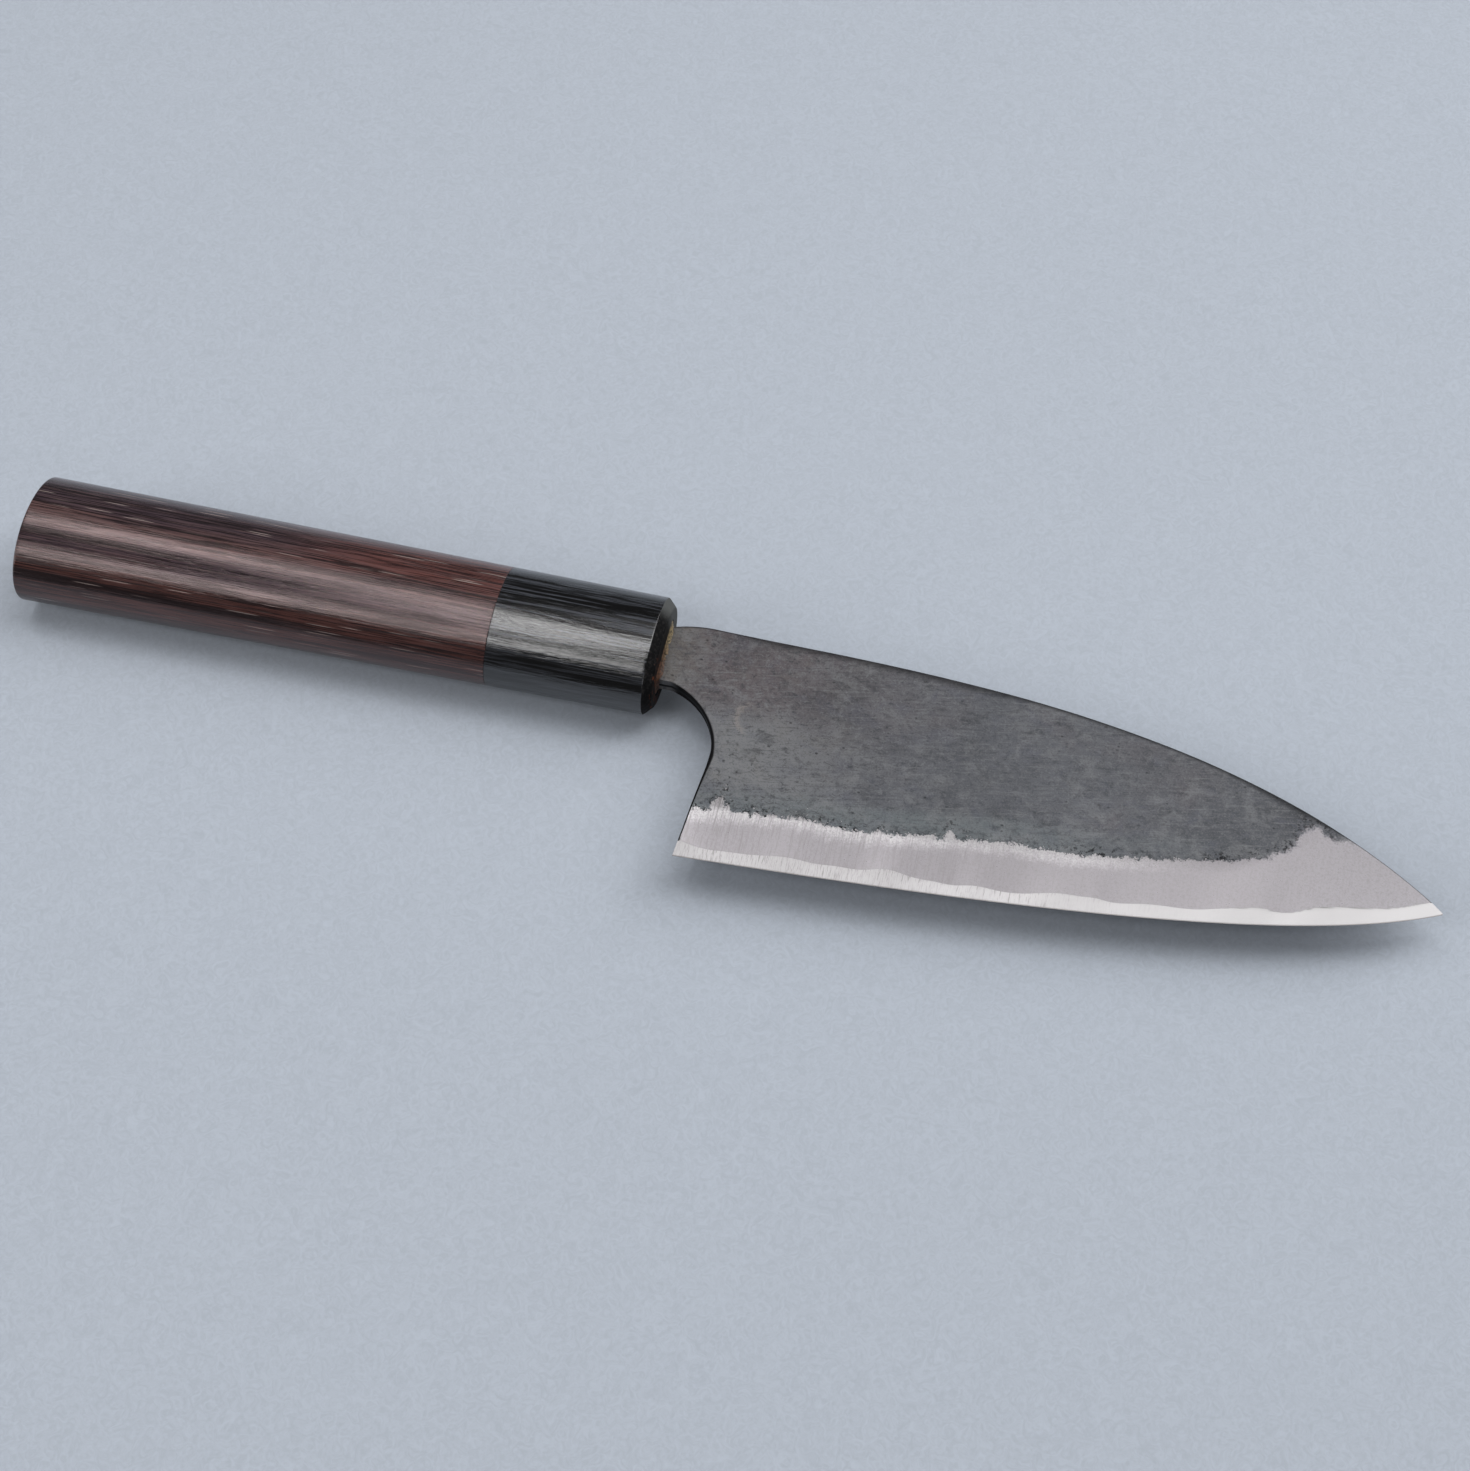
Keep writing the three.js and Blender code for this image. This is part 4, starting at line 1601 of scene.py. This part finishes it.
    def seal(self) -> bpy.types.Object:
        """The resin bead round the neck: an uneven rounded lip on a collar that fills the pocket.

        Each ring is a soft rectangle round the neck. The lip's rings move back along x with a sum of waves,
        the more the further they stand out of the pocket.

        Returns:
            The dressed piece.
        """
        f, gap = self.blade, self.glue_gap
        back = -self.seal_depth + gap
        profile = np.concatenate([[(back, 0.0)], np.array(self.lip) * MM, [(back, self.seal_wall)]])
        x, out = profile[:, 0], 2 * profile[:, 1]
        rings = slots(x, f.neck_height + 2 * gap + out, f.neck_thickness + 2 * gap + out, self.sides)
        angle = np.linspace(0, 2 * np.pi, self.sides, endpoint=False)
        share, count, lead = np.array(self.lip_waves).T[:, :, None]
        wobble = (share * np.sin(count * angle + lead)).sum(axis=0)
        low, high = self.lip_free
        free = np.clip((x - low) / (high - low), 0, 1)[:, None]
        rings[..., 0] += free * self.lip_swing * (wobble - 1)
        piece = skin("resin_bead", self.placement.carry(rings), Ends.LOOPED)
        return dress(piece, Bead().material(), "mouth_seal")

    def dress_inside(self) -> list[bpy.types.Object]:
        """Gives the hidden dowel and bedding, whose solids are right as they are, their finishes.

        Returns:
            The two solids.
        """
        inside = {"ferrule_dowel": PaleWood().material(), "tang_bedding": ClearResin().material()}
        for node, material in inside.items():
            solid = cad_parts[node]
            solid.data.materials.clear()
            solid.data.materials.append(material)
        return [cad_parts[node] for node in inside]

    def build(self) -> list[bpy.types.Object]:
        """Builds the handle's visible pieces and dresses the hidden ones."""
        return [self.grip(), self.collar(), self.seal(), *self.dress_inside()]


@dataclass(frozen=True)
class Panel:
    """One soft rectangular light; it faces down unless tilted, and its glow is its surface's brightness."""

    name: str
    place: Triple
    size: tuple[float, float]
    turn: float
    glow: float
    tilt: float = 0.0

    def build(self) -> bpy.types.Object:
        """Adds the light, with the power that gives its surface the wanted glow.

        Returns:
            The light's object.
        """
        lamp = bpy.data.lights.new(self.name, "AREA")
        lamp.shape = "RECTANGLE"
        lamp.size, lamp.size_y = self.size
        lamp.energy = self.glow * math.pi * self.size[0] * self.size[1]
        holder = bpy.data.objects.new(self.name, lamp)
        holder.location = self.place
        holder.rotation_euler = (math.radians(self.tilt), 0, math.radians(self.turn))
        holder.visible_camera = False
        bpy.context.scene.collection.objects.link(holder)
        return holder


@dataclass
class Studio:
    """Paper floor, soft lights, a dim surround and the camera."""

    placement: Placement
    elevation: float = 58.0
    azimuth: float = 12.9
    distance: float = 477.3 * MM
    target: Triple = (16.70 * MM, -13.86 * MM, 0.0)
    focal_pixels: float = 2600.0
    frame_pixels: float = 1471.0
    sensor: float = 36.0
    nearest: float = 0.01
    paper: Colour = (0.462, 0.505, 0.572)
    paper_mottle: float = 0.07
    floor_reach: float = 3.0
    panels: tuple[Panel, ...] = (
        Panel("soft_box", (0.50, 0.31, 1.1), (1.3, 0.45), 30, 3.85),
        Panel("low_box", (-0.95, -0.45, 0.5), (0.70, 0.50), -63, 3.2, 62),
        Panel("side_box", (-0.240, 0.0, 1.1), (0.085, 0.56), 0, 8.8),
        Panel("left_strip", (-0.54, 0.34, 1.1), (0.44, 0.24), -8, 4.4),
        Panel("front_strip", (-0.46, -0.65, 1.1), (0.58, 0.34), 0, 4.5),
        Panel("back_fill", (0.15, 0.75, 1.1), (0.70, 0.60), 0, 1.0),
        Panel("back_panel", (1.35, 1.3, 1.1), (1.5, 1.6), 0, 2.5),
        Panel("front_fill", (0.85, -1.6, 1.1), (1.1, 1.0), 0, 0.8),
        Panel("right_fill", (2.3, -0.3, 1.1), (1.2, 1.6), 0, 0.8),
    )
    surround: Colour = (1.0, 1.0, 1.0)
    surround_level: float = 0.07

    def camera(self) -> bpy.types.Object:
        """Places the camera at the photograph's angle, distance and angle of view.

        Returns:
            The camera's object.
        """
        lens = bpy.data.cameras.new("camera")
        lens.sensor_width = self.sensor
        lens.lens = self.focal_pixels * self.sensor / self.frame_pixels
        lens.clip_start = self.nearest
        viewer = bpy.data.objects.new("camera", lens)
        rise, turn = math.radians(self.elevation), math.radians(self.azimuth)
        back = Vector((math.sin(turn) * math.cos(rise), -math.cos(turn) * math.cos(rise), math.sin(rise)))
        across = Vector((math.cos(turn), math.sin(turn), 0))
        eye = Vector(self.placement.carry(np.array(self.target))) + back * self.distance
        axes = Matrix((across, back.cross(across), back)).transposed()
        viewer.matrix_world = Matrix.Translation(eye) @ axes.to_4x4()
        bpy.context.scene.collection.objects.link(viewer)
        bpy.context.scene.camera = viewer
        return viewer

    def floor(self) -> bpy.types.Object:
        """A wide sheet of pale paper with a faint fibrous mottle.

        Returns:
            The sheet.
        """
        r = Recipe("paper")
        fibres = r.noise(r.stretch((0.45, 0.45, 0.45)), 1.0, 7, 0.70, 2.5)
        pale = tuple(min(1.0, channel * (1 + self.paper_mottle)) for channel in self.paper)
        deep = tuple(channel * (1 - self.paper_mottle) for channel in self.paper)
        tone = r.mix(r.rise(fibres, 0.3, 0.7), deep, pale)
        mesh = bpy.data.meshes.new("paper")
        corners = self.floor_reach * np.array([(-1, -1, 0), (1, -1, 0), (1, 1, 0), (-1, 1, 0)])
        mesh.from_pydata(corners.tolist(), [], [(0, 1, 2, 3)])
        mesh.materials.append(r.finish(Base_Color=tone, Roughness=0.9, Specular_IOR_Level=0.2))
        sheet = bpy.data.objects.new("paper", mesh)
        bpy.context.scene.collection.objects.link(sheet)
        return sheet

    def surroundings(self) -> bpy.types.World:
        """A dim even surround behind the lights.

        Returns:
            The world.
        """
        world = bpy.data.worlds.new("surround")
        world.use_nodes = True
        ground = world.node_tree.nodes["Background"]
        ground.inputs["Color"].default_value = (*self.surround, 1.0)
        ground.inputs["Strength"].default_value = self.surround_level
        bpy.context.scene.world = world
        return world

    def build(self) -> None:
        """Sets up the stage and the plain view transform."""
        self.camera()
        self.floor()
        self.surroundings()
        for panel in self.panels:
            panel.build()
        bpy.context.scene.view_settings.view_transform = "Standard"


def main() -> None:
    """Builds the studio, the blade and the handle."""
    logging.basicConfig(level=logging.INFO, format="%(name)s: %(message)s")
    placement = Placement.from_frame()
    Studio(placement).build()
    for assembly in (Blade(placement), Handle(placement)):
        for piece in assembly.build():
            LOG.info("%s: %s, %d faces", type(assembly).__name__, piece.name, len(piece.data.polygons))


if __name__ == "__main__":
    main()
